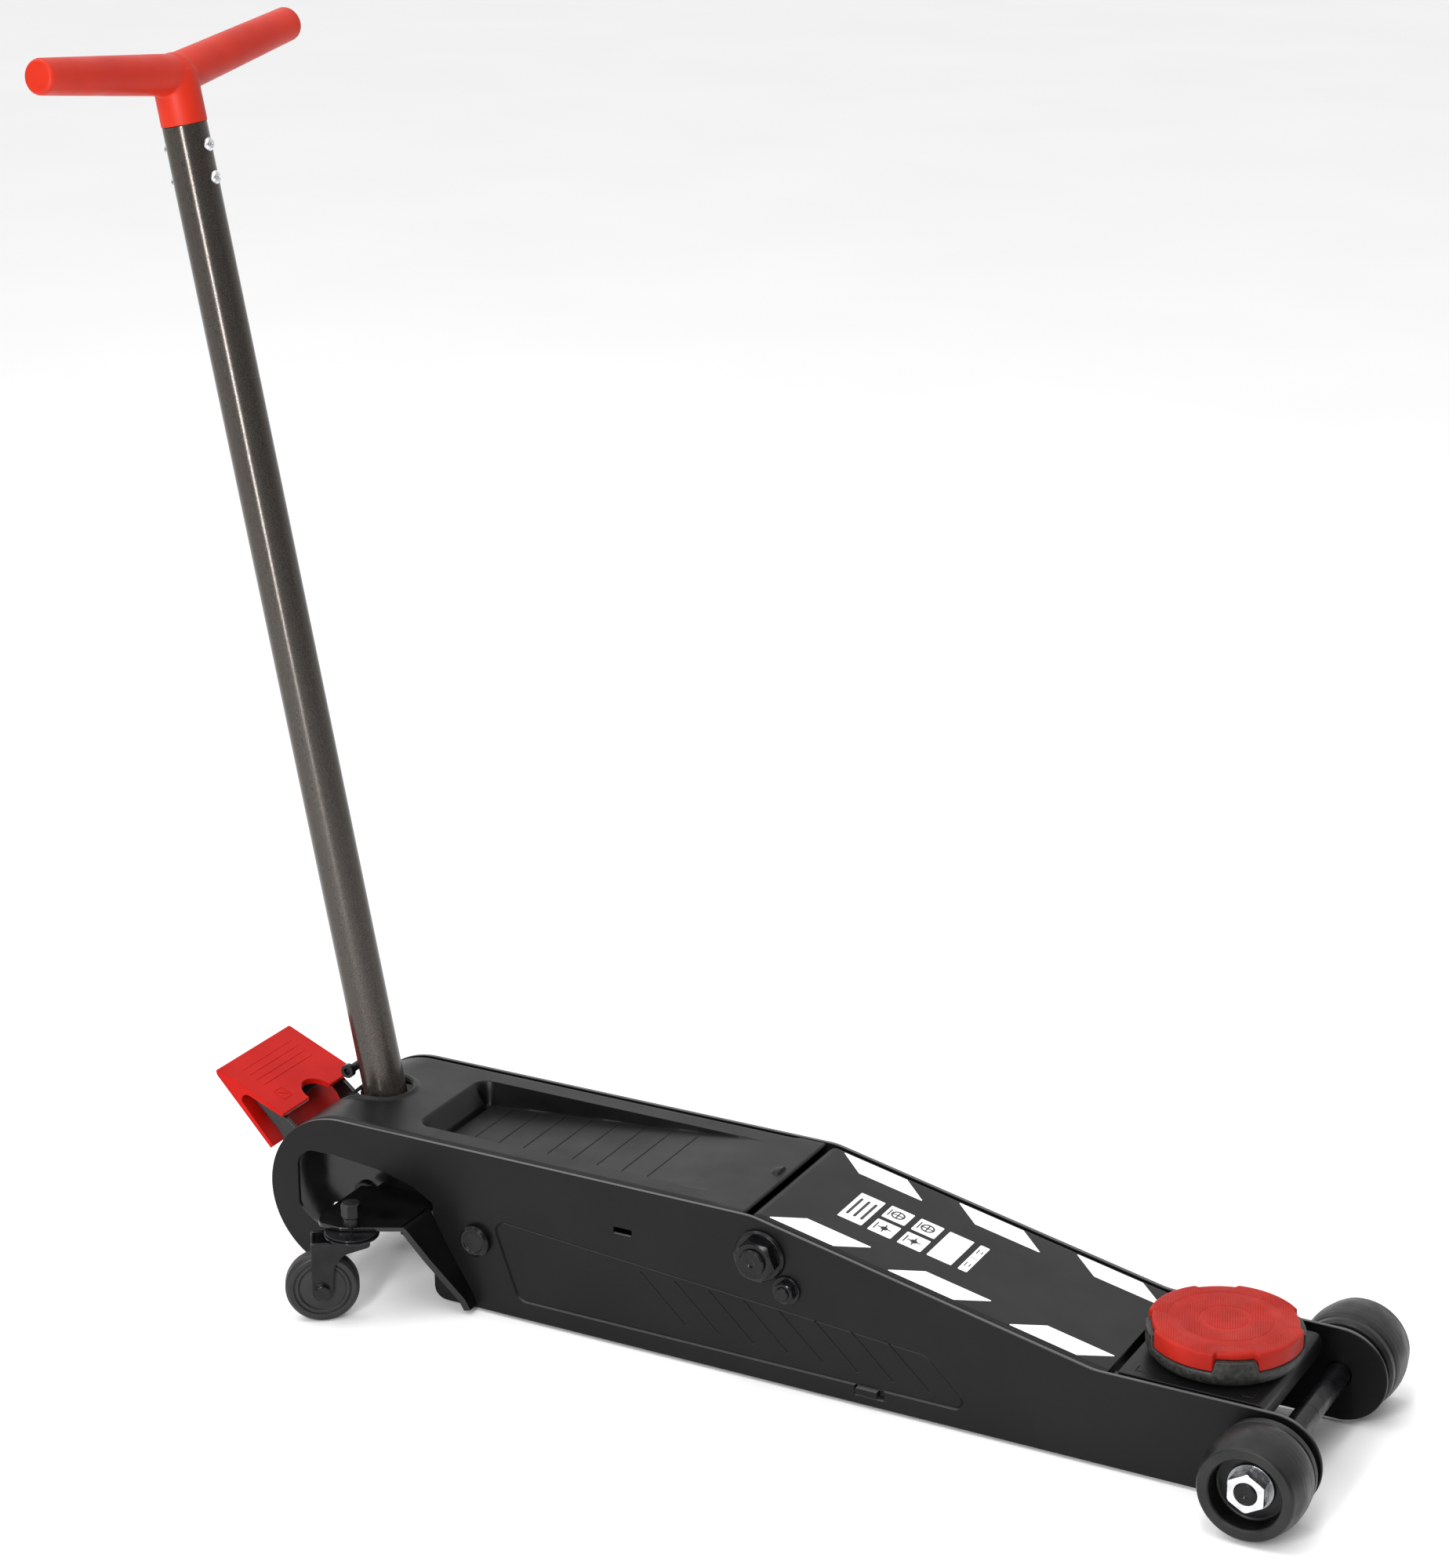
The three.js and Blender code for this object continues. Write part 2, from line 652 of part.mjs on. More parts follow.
// Red pad: a plug inside the cup under a wide head, whose rim hangs down between the cup's lugs.
function addSaddlePad() {
  const { floor, cupInner, rimTop, lugTop, padRadius, notchRadius, padTop, lugHalfAngle } = SADDLE;
  const head = rimTop + GAP;
  const plug = cupInner - 1.5;
  const profile = [
    [0, floor + GAP],
    [plug, floor + GAP],
    [plug, head],
    [padRadius, head],
    [padRadius, padTop - 2],
    [padRadius - 2, padTop],
    [0, padTop],
  ];
  const pad = turned(profile, 48).rotateX(Math.PI / 2);
  const clear = lugHalfAngle + 0.02;
  const wide = padRadius + 5;
  const rooms = atLugs(0, (angle) => ringSector(plug, wide, angle, clear, head - 1, lugTop + GAP));
  const steps = atLugs(0, (angle) => ringSector(notchRadius, wide, angle, clear, head, padTop + 1));
  add(jack, "saddle_pad", shaped([pad], [...rooms, ...steps]).translate(SADDLE.x, 0, 0), "redRubber");
}

// ---- Covers ----

// Black rear cover with a sloping tool tray, a rounded rear end and a slot for the handle.
function addRearCover() {
  const { half, sheet, rear, front } = COVER;
  const { top } = FRAME;
  const centreZ = top - REAR_RADIUS;
  const deck = block(rear, front, -half, half, top - sheet, top);
  const dome = new THREE.Shape();
  const end = THREE.MathUtils.degToRad(140);
  dome.absarc(rear, centreZ, REAR_RADIUS, Math.PI / 2 - 0.02, end, false);
  dome.absarc(rear, centreZ, REAR_RADIUS - sheet, end, Math.PI / 2 - 0.02, true);
  const floorZ = top - TRAY.depth;
  const wall = 2.5;
  const hull = outline([
    [TRAY.rear - wall, top - 1],
    [TRAY.floorRear - wall - 1, floorZ - wall],
    [TRAY.floorRear, floorZ - wall],
    [TRAY.front + 20, top - sheet],
    [TRAY.front + 20, top - 1],
  ]);
  const hollow = outline([
    [TRAY.rear - 2, top + 2],
    [TRAY.floorRear, floorZ],
    [TRAY.front, top],
    [TRAY.front, top + 2],
  ]);
  const skirt = (side) => block(rear + 14, -32, ...sideSpan(side, half - 2.5, half), top - 15, top - 1);
  const handleSlot = [
    rodZ(HANDLE_PIVOT.x - 15.5, 0, 25, 100, 200),
    block(-520, HANDLE_PIVOT.x - 15.5, -25, 25, 90, 200),
  ];
  add(
    jack,
    "rear_cover",
    shaped(
      [
        deck,
        plate(dome, -half, half, 10),
        plate(hull, -TRAY.half - wall, TRAY.half + wall),
        skirt(SIDES.right),
        skirt(SIDES.left),
      ],
      [plate(hollow, -TRAY.half, TRAY.half), ...handleSlot],
    ),
    "plastic",
  );
}

// ---- Handle ----

const handle = new THREE.Group();
handle.position.set(HANDLE_PIVOT.x, 0, HANDLE_PIVOT.z);
handle.rotation.y = -HANDLE_LEAN;
jack.add(handle);

function addHandlePivotPin() {
  const { x, z, radius } = HANDLE_PIVOT;
  const wall = SHELF.inner + 3 + GAP;
  const shank = rodY(x, z, radius, -wall - 2, wall + 3);
  const head = rodY(x, z, 12, -wall - 4, -wall);
  add(jack, "handle_pivot_pin", shaped([shank, head]), "steel");
}

// Cast socket: a sleeve round the foot of the tube, a drum-shaped shield behind it, the pump's cam
// below the pivot and a split lug for the clamp bolt.
function addHandleSocket() {
  const { half, sleeve, sleeveTop, shieldHalf, shieldRadius, wall } = SOCKET;
  const shield = new THREE.Shape();
  const [from, to] = [0.5 * Math.PI + 0.42, 0.5 * Math.PI + 0.98];
  shield.moveTo(0, 0);
  shield.lineTo(shieldRadius * Math.cos(from), shieldRadius * Math.sin(from));
  shield.absarc(0, 0, shieldRadius, from, to, false);
  const lug = block(CLAMP.x - wall, -TUBE.radius + 2, -wall, wall, sleeveTop - 12, CLAMP.z + 10);
  const cam = [
    block(-5, 5, -13, 13, -CAM.reach, 0),
    rodY(0, -CAM.reach, CAM.radius, -13, 13),
  ];
  cam.forEach((piece) => piece.rotateY(CAM.back + HANDLE_LEAN));
  const joinedParts = [
    plate(shield, -shieldHalf, shieldHalf, 12),
    lug,
    rodZ(0, 0, sleeve, 14, sleeveTop),
    rodY(0, 0, sleeve, -half, half),
    ...cam,
  ];
  const cuts = [
    rodZ(0, 0, TUBE.radius + GAP, TUBE.bottom - 3, 200, 32),
    rodY(0, 0, HANDLE_PIVOT.radius + GAP, -60, 60),
    block(-60, 0, -1.5, 1.5, 80, 130),
    rodY(CLAMP.x, CLAMP.z, CLAMP.radius + GAP, -30, 30),
  ];
  add(handle, "handle_socket", shaped(joinedParts, cuts), "casting");
  const shank = rodY(CLAMP.x, CLAMP.z, CLAMP.radius, -wall - 1, wall + 4);
  const head = rodY(CLAMP.x, CLAMP.z, CLAMP.headRadius, -wall - 6.5, -wall - GAP);
  add(handle, "socket_clamp_bolt", shaped([shank, head]), "blackSteel");
}

function addHandleTube() {
  const { radius, bore, bottom, top } = TUBE;
  const wall = [
    [bore, bottom],
    [radius, bottom],
    [radius, top],
    [bore, top],
    [bore, bottom],
  ];
  const tube = turned(wall, 32).rotateX(Math.PI / 2);
  const holes = gripBoltPlaces().map(([, z]) => rodX(0, z, GRIP_BOLT.radius + GAP, -30, 30));
  add(handle, "handle_tube", shaped([tube], holes), "tube");
}

// The four bolts that hold the grip, in front of the tube and behind it: direction and height.
function gripBoltPlaces() {
  const heights = [GRIP_BOLT.upper, GRIP_BOLT.lower];
  return [1, -1].flatMap((direction) => heights.map((z) => [direction, z]));
}

// Moulded T-grip: a plug in the tube, a collar and two tapering arms that rise a little outward.
function addGrip() {
  const { axis, reach, rise, rootRadius, endRadius } = GRIP;
  const collar = rodZ(0, 0, TUBE.radius + 0.5, TUBE.top + GAP, axis + 4, 32);
  const plug = rodZ(0, 0, TUBE.bore - GAP, 905, TUBE.top + 3, 32);
  const crown = new THREE.SphereGeometry(rootRadius + 1.3, 24, 12).translate(0, 0, axis);
  const length = Math.hypot(reach, rise);
  const arms = Object.values(SIDES).map((side) => {
    const profile = [
      [0, 0],
      [rootRadius, 0],
      [endRadius, length - 2],
      [endRadius - 2, length],
      [0, length],
    ];
    const arm = turned(profile, 28);
    arm.rotateX(side > 0 ? Math.atan2(rise, reach) : Math.PI - Math.atan2(rise, reach));
    return arm.translate(0, 0, axis);
  });
  const holes = gripBoltPlaces().map(([direction, z]) => {
    const [x0, x1] = sideSpan(direction, 5, 30);
    return rodX(0, z, GRIP_BOLT.radius + GAP, x0, x1);
  });
  add(handle, "grip", shaped([collar, plug, crown, ...arms], holes), "redPlastic");
}

function addGripBolts() {
  gripBoltPlaces().forEach(([direction, z], index) => {
    const shank = rodX(0, z, GRIP_BOLT.radius, ...sideSpan(direction, 7, 21));
    const face = TUBE.radius + GAP;
    const head = rodX(0, z, GRIP_BOLT.headRadius, ...sideSpan(direction, face, face + 4.2));
    add(handle, "grip_bolt_" + (index + 1), shaped([shank, head]), "zinc");
  });
}

// ---- Foot pedal ----

// Folded red tread: a top plate that falls forward and a lower leg folded back under it. The top
// plate's front edge is notched for the handle socket's lug, which comes down there on a full stroke.
function addPedal() {
  const tread = outline([
    [-577, 167],
    [-575.5, 163],
    [-571, 159.5],
    [-518, 100],
    [-515, 103],
    [-563, 160],
    [-503, 134.5],
    [-501, 138.5],
    [-571, 168.5],
    [-575, 169],
  ]);
  const { half, reliefX, reliefRadius } = PEDAL;
  const relief = rodZ(reliefX, 0, reliefRadius, 122, 180, 24);
  add(jack, "foot_pedal", shaped([plate(tread, -half, half)], [relief]), "redPlastic");
}

// Steel frame that carries the tread: two arms from the handle's pivot pin, tied by a rib.
function addPedalArm() {
  const { x, z, radius } = HANDLE_PIVOT;
  const arm = new THREE.Shape();
  arm.moveTo(x, z + 13);
  arm.absarc(x, z, 13, Math.PI / 2, 1.5 * Math.PI, true);
  arm.lineTo(-480, 84);
  arm.lineTo(-508, 106);
  arm.lineTo(-514, 116);
  arm.lineTo(-549, 150);
  arm.lineTo(-511, 134.5);
  arm.lineTo(-478, 108);
  const sides = Object.values(SIDES).map((side) => plate(arm, ...sideSpan(side, 46.5, 51)));
  const rib = block(-530, -524, -50, 50, 128, 137);
  const hole = rodY(x, z, radius + GAP, -90, 90);
  add(jack, "pedal_arm", shaped([...sides, rib], [hole]), "paint");
}

// A helical coil round the pivot pin, between two distances from the centreline.
function addTorsionSpring(name, y0, y1) {
  const wire = 1.3;
  const coilRadius = 10.5;
  const turns = 2.25;
  class Helix extends THREE.Curve {
    getPoint(t) {
      const angle = t * turns * 2 * Math.PI;
      const y = y0 + (y1 - y0) * t;
      return new THREE.Vector3(coilRadius * Math.cos(angle), y, coilRadius * Math.sin(angle));
    }
  }
  const section = new THREE.Shape().absarc(0, 0, wire, 0, 2 * Math.PI, false);
  const coil = new THREE.ExtrudeGeometry(section, {
    extrudePath: new Helix(),
    steps: turns * 12,
    curveSegments: 3,
  });
  add(jack, name, coil.translate(HANDLE_PIVOT.x, 0, HANDLE_PIVOT.z), "steel");
}

// ---- Casters ----

// Everything on a caster turns with the swivel, so it is made in a group at the swivel's axis.
function addCaster(name, side) {
  const { radius, trail, half } = CASTER;
  const swivel = new THREE.Group();
  swivel.position.set(SWIVEL.x, side * SWIVEL.y, 0);
  swivel.rotation.z = SWIVEL.turn;
  jack.add(swivel);

  const plateTop = SHELF.top - SHELF.sheet - GAP;
  const plate0 = turned(
    [
      [5.4, plateTop - 9],
      [14, plateTop - 9],
      [22, plateTop - 5],
      [25, plateTop - 4],
      [25, plateTop],
      [5.4, plateTop],
      [5.4, plateTop - 9],
    ],
    28,
  ).rotateX(Math.PI / 2);
  const legShape = outline([
    [-trail - 9, radius - 6],
    [-trail - 3, radius - 10],
    [-trail + 5, radius - 10],
    [-trail + 10, radius - 5],
    [-trail + 11, 56],
    [-trail + 20, 68],
    [16, plateTop - 12],
    [16, plateTop - 6],
    [-trail - 9, plateTop - 6],
  ]);
  const legs = [half + 1.5, -half - 4.5].map((y) => plate(legShape, y, y + 3));
  const bridge = block(-16, 16, -half - 4, half + 4, plateTop - 11, plateTop - 6);
  const axleHole = rodY(-trail, radius, 4 + GAP, -30, 30);
  const stemHole = rodZ(0, 0, 5.4, 40, 100);
  add(
    swivel,
    "caster_fork_" + name,
    shaped([plate0, bridge, ...legs], [axleHole, stemHole]),
    "blackSteel",
  );

  const wheel = turned([
    [4.6, -half],
    [12, -half],
    [13, -half + 2],
    [24, -half + 2],
    [25.5, -half + 0.5],
    [30.5, -half + 0.5],
    [radius, -half + 4],
    [radius, half - 4],
    [30.5, half - 0.5],
    [25.5, half - 0.5],
    [24, half - 2],
    [13, half - 2],
    [12, half],
    [4.6, half],
    [4.6, -half],
  ]);
  add(swivel, "caster_wheel_" + name, wheel.translate(-trail, 0, radius), "rubber");

  const outer = half + 4.5 + GAP;
  const shank = rodY(-trail, radius, 4, -outer - 1, outer + 5);
  const head = rodY(-trail, radius, 7.5, -outer - 4.5, -outer, 6);
  add(swivel, "caster_axle_bolt_" + name, shaped([shank, head]), "zinc");
}

// Bolt that clamps the caster to the shelf and is the swivel's axle, with its spacer and hex head.
function addCasterStem(name, side) {
  const y = side * SWIVEL.y;
  const shank = rodZ(SWIVEL.x, y, 5, 70, SHELF.top + 20);
  const spacer = rodZ(SWIVEL.x, y, 7.5, SHELF.top + GAP, SHELF.top + 9);
  const head = rodZ(SWIVEL.x, y, 9.2, SHELF.top + 9, SHELF.top + 23, 6);
  const foot = rodZ(SWIVEL.x, y, 7, 68.5, 71);
  add(jack, "caster_stem_bolt_" + name, shaped([shank, spacer, head, foot]), "steel");
}

// ---- Assembly ----

for (const [name, side] of Object.entries(SIDES)) {
  addSidePlate(name, side);
  addCasterBracket(name, side);
  addFrontWheel(name, side);
  addAxleFasteners(name, side);
  addArmCheek(name, side);
  addParallelLink(name, side);
  addCaster(name, side);
  addCasterStem(name, side);
}
addCrossBrace();
addFrontAxle();
addTrunnionPin();
addPumpBlock();
addReservoir();
addRam();
addPumpPlunger();
addReleaseValve();
addArmPivot();
addLinkPivots();
addArmHub();
addArmPins();
addArmCover();
addSaddlePlatform();
addSaddleCup();
addSaddlePad();
addRearCover();
addHandlePivotPin();
addHandleSocket();
addHandleTube();
addGrip();
addGripBolts();
addPedal();
addPedalArm();
addTorsionSpring("pedal_spring", -44.2, -37.2);
addTorsionSpring("handle_spring", 37.2, 44.2);

jack.position.x = -ORIGIN_X;

export default jack;
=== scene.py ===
"""Finished look of a long trolley jack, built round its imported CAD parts.

Shapes are drawn in millimetres in the jack's own frame: X = 0 at the rear end of the frame's slope,
+X towards the saddle, Y = 0 on the centreline and Z = 0 on the ground.
"""

import json
import math

import bmesh
import bpy
import numpy as np
from mathutils import Matrix, Vector


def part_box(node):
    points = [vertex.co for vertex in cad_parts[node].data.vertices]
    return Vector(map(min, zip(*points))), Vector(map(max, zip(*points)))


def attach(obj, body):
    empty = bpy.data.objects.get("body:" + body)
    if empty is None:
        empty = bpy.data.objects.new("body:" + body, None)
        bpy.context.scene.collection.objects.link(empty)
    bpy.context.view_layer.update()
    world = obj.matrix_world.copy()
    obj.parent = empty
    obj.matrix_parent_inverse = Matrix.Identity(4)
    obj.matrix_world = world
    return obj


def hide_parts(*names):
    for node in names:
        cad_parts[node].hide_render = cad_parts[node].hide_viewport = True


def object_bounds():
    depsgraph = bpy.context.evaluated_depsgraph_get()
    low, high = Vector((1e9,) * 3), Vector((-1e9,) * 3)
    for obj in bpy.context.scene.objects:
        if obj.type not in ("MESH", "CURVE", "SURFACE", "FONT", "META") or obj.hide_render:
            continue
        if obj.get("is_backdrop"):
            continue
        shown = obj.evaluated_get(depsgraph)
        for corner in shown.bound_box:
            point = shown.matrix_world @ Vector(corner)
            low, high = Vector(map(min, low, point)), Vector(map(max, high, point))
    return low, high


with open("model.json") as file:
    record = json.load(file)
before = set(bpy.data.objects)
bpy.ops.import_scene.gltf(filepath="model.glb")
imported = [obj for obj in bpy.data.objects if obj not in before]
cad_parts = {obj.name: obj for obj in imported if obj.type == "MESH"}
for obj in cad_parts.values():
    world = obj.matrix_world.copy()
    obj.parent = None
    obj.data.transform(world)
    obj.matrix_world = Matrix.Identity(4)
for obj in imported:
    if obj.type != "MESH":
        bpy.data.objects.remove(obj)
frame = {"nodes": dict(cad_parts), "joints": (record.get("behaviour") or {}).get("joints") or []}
bounds_at_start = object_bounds()

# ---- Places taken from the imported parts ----

MM = 0.001
JOINTS = {joint["name"]: joint for joint in frame["joints"]}
ARM_PIVOT_X = 10
ORIGIN_X = JOINTS["lift"]["pos_m"][0] / MM - ARM_PIVOT_X


def joint_place(name):
    """A joint's anchor in the jack's frame."""
    x, y, z = JOINTS[name]["pos_m"]
    return Vector((x / MM - ORIGIN_X, y / MM, z / MM))


def node_box(name):
    """Lowest and highest corner of a CAD node in the jack's frame."""
    low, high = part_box(name)
    shift = Vector((ORIGIN_X, 0, 0))
    return low / MM - shift, high / MM - shift


SIDES = {"right": -1, "left": 1}
PLATE_LOW, PLATE_HIGH = node_box("side_plate_left")
FRAME_TOP = PLATE_HIGH.z
FRAME_BOTTOM = PLATE_LOW.z
FRAME_OUTER = PLATE_HIGH.y
FRAME_INNER = PLATE_LOW.y
REAR_RADIUS = (FRAME_TOP - FRAME_BOTTOM) / 2
REAR_X = PLATE_LOW.x + REAR_RADIUS
REAR_Z = FRAME_TOP - REAR_RADIUS
AXLE = joint_place("front_spin_right")
AXLE_END = node_box("front_axle")[1].y
FRONT_RADIUS = AXLE.z - FRAME_BOTTOM
FRONT_TOP = AXLE.z + FRONT_RADIUS
SLOPE_END = 322
SLOPE = (FRAME_TOP - FRONT_TOP) / SLOPE_END
FOOT_X = -324.5
ARM_PIVOT = joint_place("lift")
LINK_PIVOT = joint_place("link_swing")
ARM_FRONT = joint_place("saddle_level")
LINK_FRONT = ARM_FRONT + LINK_PIVOT - ARM_PIVOT
HANDLE_PIVOT = joint_place("pump_stroke")
TRUNNION = Vector((-278, 0, 72))
SADDLE = joint_place("saddle_swivel")
SADDLE_TURN = math.radians(28)
CASTER_TURN = math.radians(34)
HANDLE_AXIS = Vector(JOINTS["handle_twist"]["axis"])
LEAN = math.atan2(-HANDLE_AXIS.x, HANDLE_AXIS.z)
SHELF_Z = 91
SHELF_SHEET = 4
BRACKET_INNER = 57
WHEEL_END = 132
RAM_Z = 73
LUG_LEAN = math.radians(32.5)
PUMP_Z = 36
VALVE_Y, VALVE_Z = 28, 84
GAP = 0.3  # clearance between two pieces that meet
KEEN = 0.1  # edge of a cutting tool
THROUGH = 90  # half length of a tool that cuts right through
ARM_BORE, AXLE_BORE, PIN_BORE, LINK_BORE, STEM_BORE = 12.3, 11.3, 8.3, 6.3, 5.4

ROOT = Matrix.Translation((ORIGIN_X * MM, 0, 0))
HANDLE = ROOT @ Matrix.Translation(HANDLE_PIVOT * MM) @ Matrix.Rotation(-LEAN, 4, "Y")


def slope_top(x):
    return FRAME_TOP - SLOPE * x


# ---- Outlines ----


def rounded(points, radius, steps=5):
    """A closed outline with its corners turned into arcs. A point may carry its own radius."""
    result = []
    for i, point in enumerate(points):
        here = Vector(point[:2])
        own = point[2] if len(point) > 2 else radius
        before = Vector(points[i - 1][:2]) - here
        after = Vector(points[(i + 1) % len(points)][:2]) - here
        angle = before.angle(after, math.pi)
        if own <= 0 or angle > math.pi - 0.03:
            result.append(tuple(here))
            continue
        reach = min(own / math.tan(angle / 2), 0.49 * min(before.length, after.length))
        own = reach * math.tan(angle / 2)
        inward = (before.normalized() + after.normalized()).normalized()
        centre = here + inward * own / math.sin(angle / 2)
        start = here + before.normalized() * reach - centre
        end = here + after.normalized() * reach - centre
        for k in range(steps + 1):
            spot = centre + start.slerp(end, k / steps).normalized() * own
            result.append((spot.x, spot.y))
    return result


def arc(x, z, radius, start, end, steps=32):
    """Points on an arc between two angles in degrees, both ends included."""
    angles = np.radians(np.linspace(start, end, steps + 1))
    return [(x + radius * math.cos(a), z + radius * math.sin(a)) for a in angles]


def circle(x, z, radius, steps=64):
    return arc(x, z, radius, 0, 360, steps)[:-1]


def rectangle(x0, x1, z0, z1, radius=0.0):
    return rounded([(x0, z0), (x1, z0), (x1, z1), (x0, z1)], radius)


def capsule(x0, z0, x1, z1, radius):
    """A slot's outline between two centres."""
    heading = math.degrees(math.atan2(z1 - z0, x1 - x0))
    head = arc(x1, z1, radius, heading - 90, heading + 90, 16)
    return head + arc(x0, z0, radius, heading + 90, heading + 270, 16)


# ---- Solids, all in millimetres ----

WELD = 0.002


def new_object(mesh):
    made = bpy.data.objects.new(mesh.name, mesh)
    bpy.context.scene.collection.objects.link(made)
    return made


def drop(made):
    bpy.data.objects.remove(made)


def baked(made):
    """A mesh object with the modifiers of the given one applied, which is then removed."""
    graph = bpy.context.evaluated_depsgraph_get()
    graph.update()
    mesh = bpy.data.meshes.new_from_object(made.evaluated_get(graph))
    drop(made)
    return new_object(mesh)


def cleaned(made):
    shape = bmesh.new()
    shape.from_mesh(made.data)
    bmesh.ops.remove_doubles(shape, verts=shape.verts, dist=WELD)
    bmesh.ops.recalc_face_normals(shape, faces=shape.faces)
    shape.to_mesh(made.data)
    shape.free()
    return made


PLANES = {
    "XZ": Matrix(((1, 0, 0, 0), (0, 0, -1, 0), (0, 1, 0, 0), (0, 0, 0, 1))),
    "XY": Matrix.Identity(4),
    "YZ": Matrix(((0, 0, 1, 0), (1, 0, 0, 0), (0, 1, 0, 0), (0, 0, 0, 1))),
}


def extruded(loops, low, high, bevel=0.6, plane="XZ", steps=2):
    """An outline and its holes, given a thickness between two values of the third axis."""
    curve = bpy.data.curves.new("outline", "CURVE")
    curve.dimensions = "2D"
    curve.fill_mode = "BOTH"
    curve.extrude = (high - low) / 2 - bevel
    curve.bevel_depth = bevel
    curve.bevel_resolution = steps
    curve.offset = -bevel
    for loop in loops:
        spline = curve.splines.new("POLY")
        spline.points.add(len(loop) - 1)
        for point, (a, b) in zip(spline.points, loop):
            point.co = (a, b, 0, 1)
        spline.use_cyclic_u = True
    made = cleaned(baked(new_object(curve)))
    middle = (low + high) / 2
    third = -middle if plane == "XZ" else middle
    made.data.transform(PLANES[plane] @ Matrix.Translation((0, 0, third)))
    return made


def from_rings(rings, close_ring=True, close_ends=True, fill_ends=False):
    """A surface over an array of rings of points."""
    count, size = rings.shape[:2]
    shape = bmesh.new()
    verts = [shape.verts.new(point) for point in rings.reshape(-1, 3)]
    wrap = size if close_ring else size - 1
    last = count if close_ends else count - 1
    for i in range(last):
        for j in range(wrap):
            a, b = i * size, (i + 1) % count * size
            k = (j + 1) % size
            shape.faces.new((verts[a + j], verts[a + k], verts[b + k], verts[b + j]))
    if fill_ends:
        shape.faces.new(verts[:size])
        shape.faces.new(verts[-size:])
    bmesh.ops.remove_doubles(shape, verts=shape.verts, dist=WELD)
    bmesh.ops.dissolve_degenerate(shape, edges=shape.edges, dist=0.0005)
    bmesh.ops.recalc_face_normals(shape, faces=shape.faces)
    mesh = bpy.data.meshes.new("surface")
    shape.to_mesh(mesh)
    shape.free()
    return new_object(mesh)


AXES = {
    "X": Matrix(((0, 0, 1, 0), (1, 0, 0, 0), (0, 1, 0, 0), (0, 0, 0, 1))),
    "Y": Matrix(((0, 1, 0, 0), (0, 0, 1, 0), (1, 0, 0, 0), (0, 0, 0, 1))),
    "Z": Matrix.Identity(4),
}


def turned(profile, centre, axis="Y", radius=0.6, sides=72):
    """A closed profile of (radius, height) turned about an axis through the centre."""
    line = np.array(rounded(profile, radius, 4))
    line[:, 0] = np.maximum(line[:, 0], 0)
    angles = np.linspace(0, 2 * math.pi, sides, endpoint=False)
    rings = np.zeros((len(line), sides, 3))
    rings[:, :, 0] = line[:, :1] * np.cos(angles)
    rings[:, :, 1] = line[:, :1] * np.sin(angles)
    rings[:, :, 2] = line[:, 1:]
    made = from_rings(rings)
    made.data.transform(Matrix.Translation(centre) @ AXES[axis])
    return made


def rod(centre, axis, radius, low, high, edge=0.8, sides=64):
    """A round bar between two heights along an axis, with chamfered ends."""
    profile = [
        (0, low, 0),
        (radius - edge, low),
        (radius, low + edge),
        (radius, high - edge),
        (radius - edge, high),
        (0, high, 0),
    ]
    return turned(profile, centre, axis, edge / 2, sides)


def bore(spot, radius):
    """A long round tool along Y through a pivot."""
    return rod((spot.x, 0, spot.z), "Y", radius, -THROUGH, THROUGH, KEEN)


def mirrored(line):
    """The points of half a profile again on the other side, so that together they close it."""
    return [(r, -h, *rest) for r, h, *rest in reversed(line)]


def hexagon(centre, axis, corner, low, high, hole=0.0, lead=0.92, turn=0.0, sides=96):
    """A hex nut or head with chamfered faces. Corner is the radius over its corners."""
    flat = corner * math.cos(math.pi / 6)
    start = flat * lead
    angles = np.linspace(0, 2 * math.pi, sides, endpoint=False)
    local = (angles + turn) % (math.pi / 3) - math.pi / 6
    radii = np.minimum(flat / np.cos(local), corner * 0.985)
    face = np.minimum(start, radii - 0.25)
    fall = (radii - face) * math.tan(math.radians(30))
    flats = np.ones(sides)
    rows = [
        (flats * hole, flats * low),
        (face, flats * low),
        (radii, low + fall),
        (radii, high - fall),
        (face, flats * high),
        (flats * hole, flats * high),
    ]
    rings = np.array([np.stack([r * np.cos(angles), r * np.sin(angles), h], 1) for r, h in rows])
    made = from_rings(rings)
    made.data.transform(Matrix.Translation(centre) @ AXES[axis])
    return made


def wire(points, radius, closed=False):
    """A round wire along a line of points."""
    curve = bpy.data.curves.new("wire", "CURVE")
    curve.dimensions = "3D"
    curve.bevel_depth = radius
    curve.bevel_resolution = 4
    curve.use_fill_caps = True
    spline = curve.splines.new("POLY")
    spline.points.add(len(points) - 1)
    for point, place in zip(spline.points, points):
        point.co = (*place, 1)
    spline.use_cyclic_u = closed
    return cleaned(baked(new_object(curve)))


def joined(*parts):
    """Several solids in one mesh."""
    shape = bmesh.new()
    for part in parts:
        shape.from_mesh(part.data)
        drop(part)
    mesh = bpy.data.meshes.new("joined")
    shape.to_mesh(mesh)
    shape.free()
    return new_object(mesh)


def combined(made, tools, operation):
    """The solid joined with, or cut by, each of the tools."""
    for tool in tools:
        step = made.modifiers.new("boolean", "BOOLEAN")
        step.operation = operation
        step.solver = "EXACT"
        step.object = tool
        made = baked(made)
        drop(tool)
    return made


def cut(made, *tools):
    return combined(made, tools, "DIFFERENCE")


def fused(made, *tools):
    return combined(made, tools, "UNION")


def moved(made, matrix):
    made.data.transform(matrix)
    return made


def side_span(side, near, far):
    return sorted((side * near, side * far))


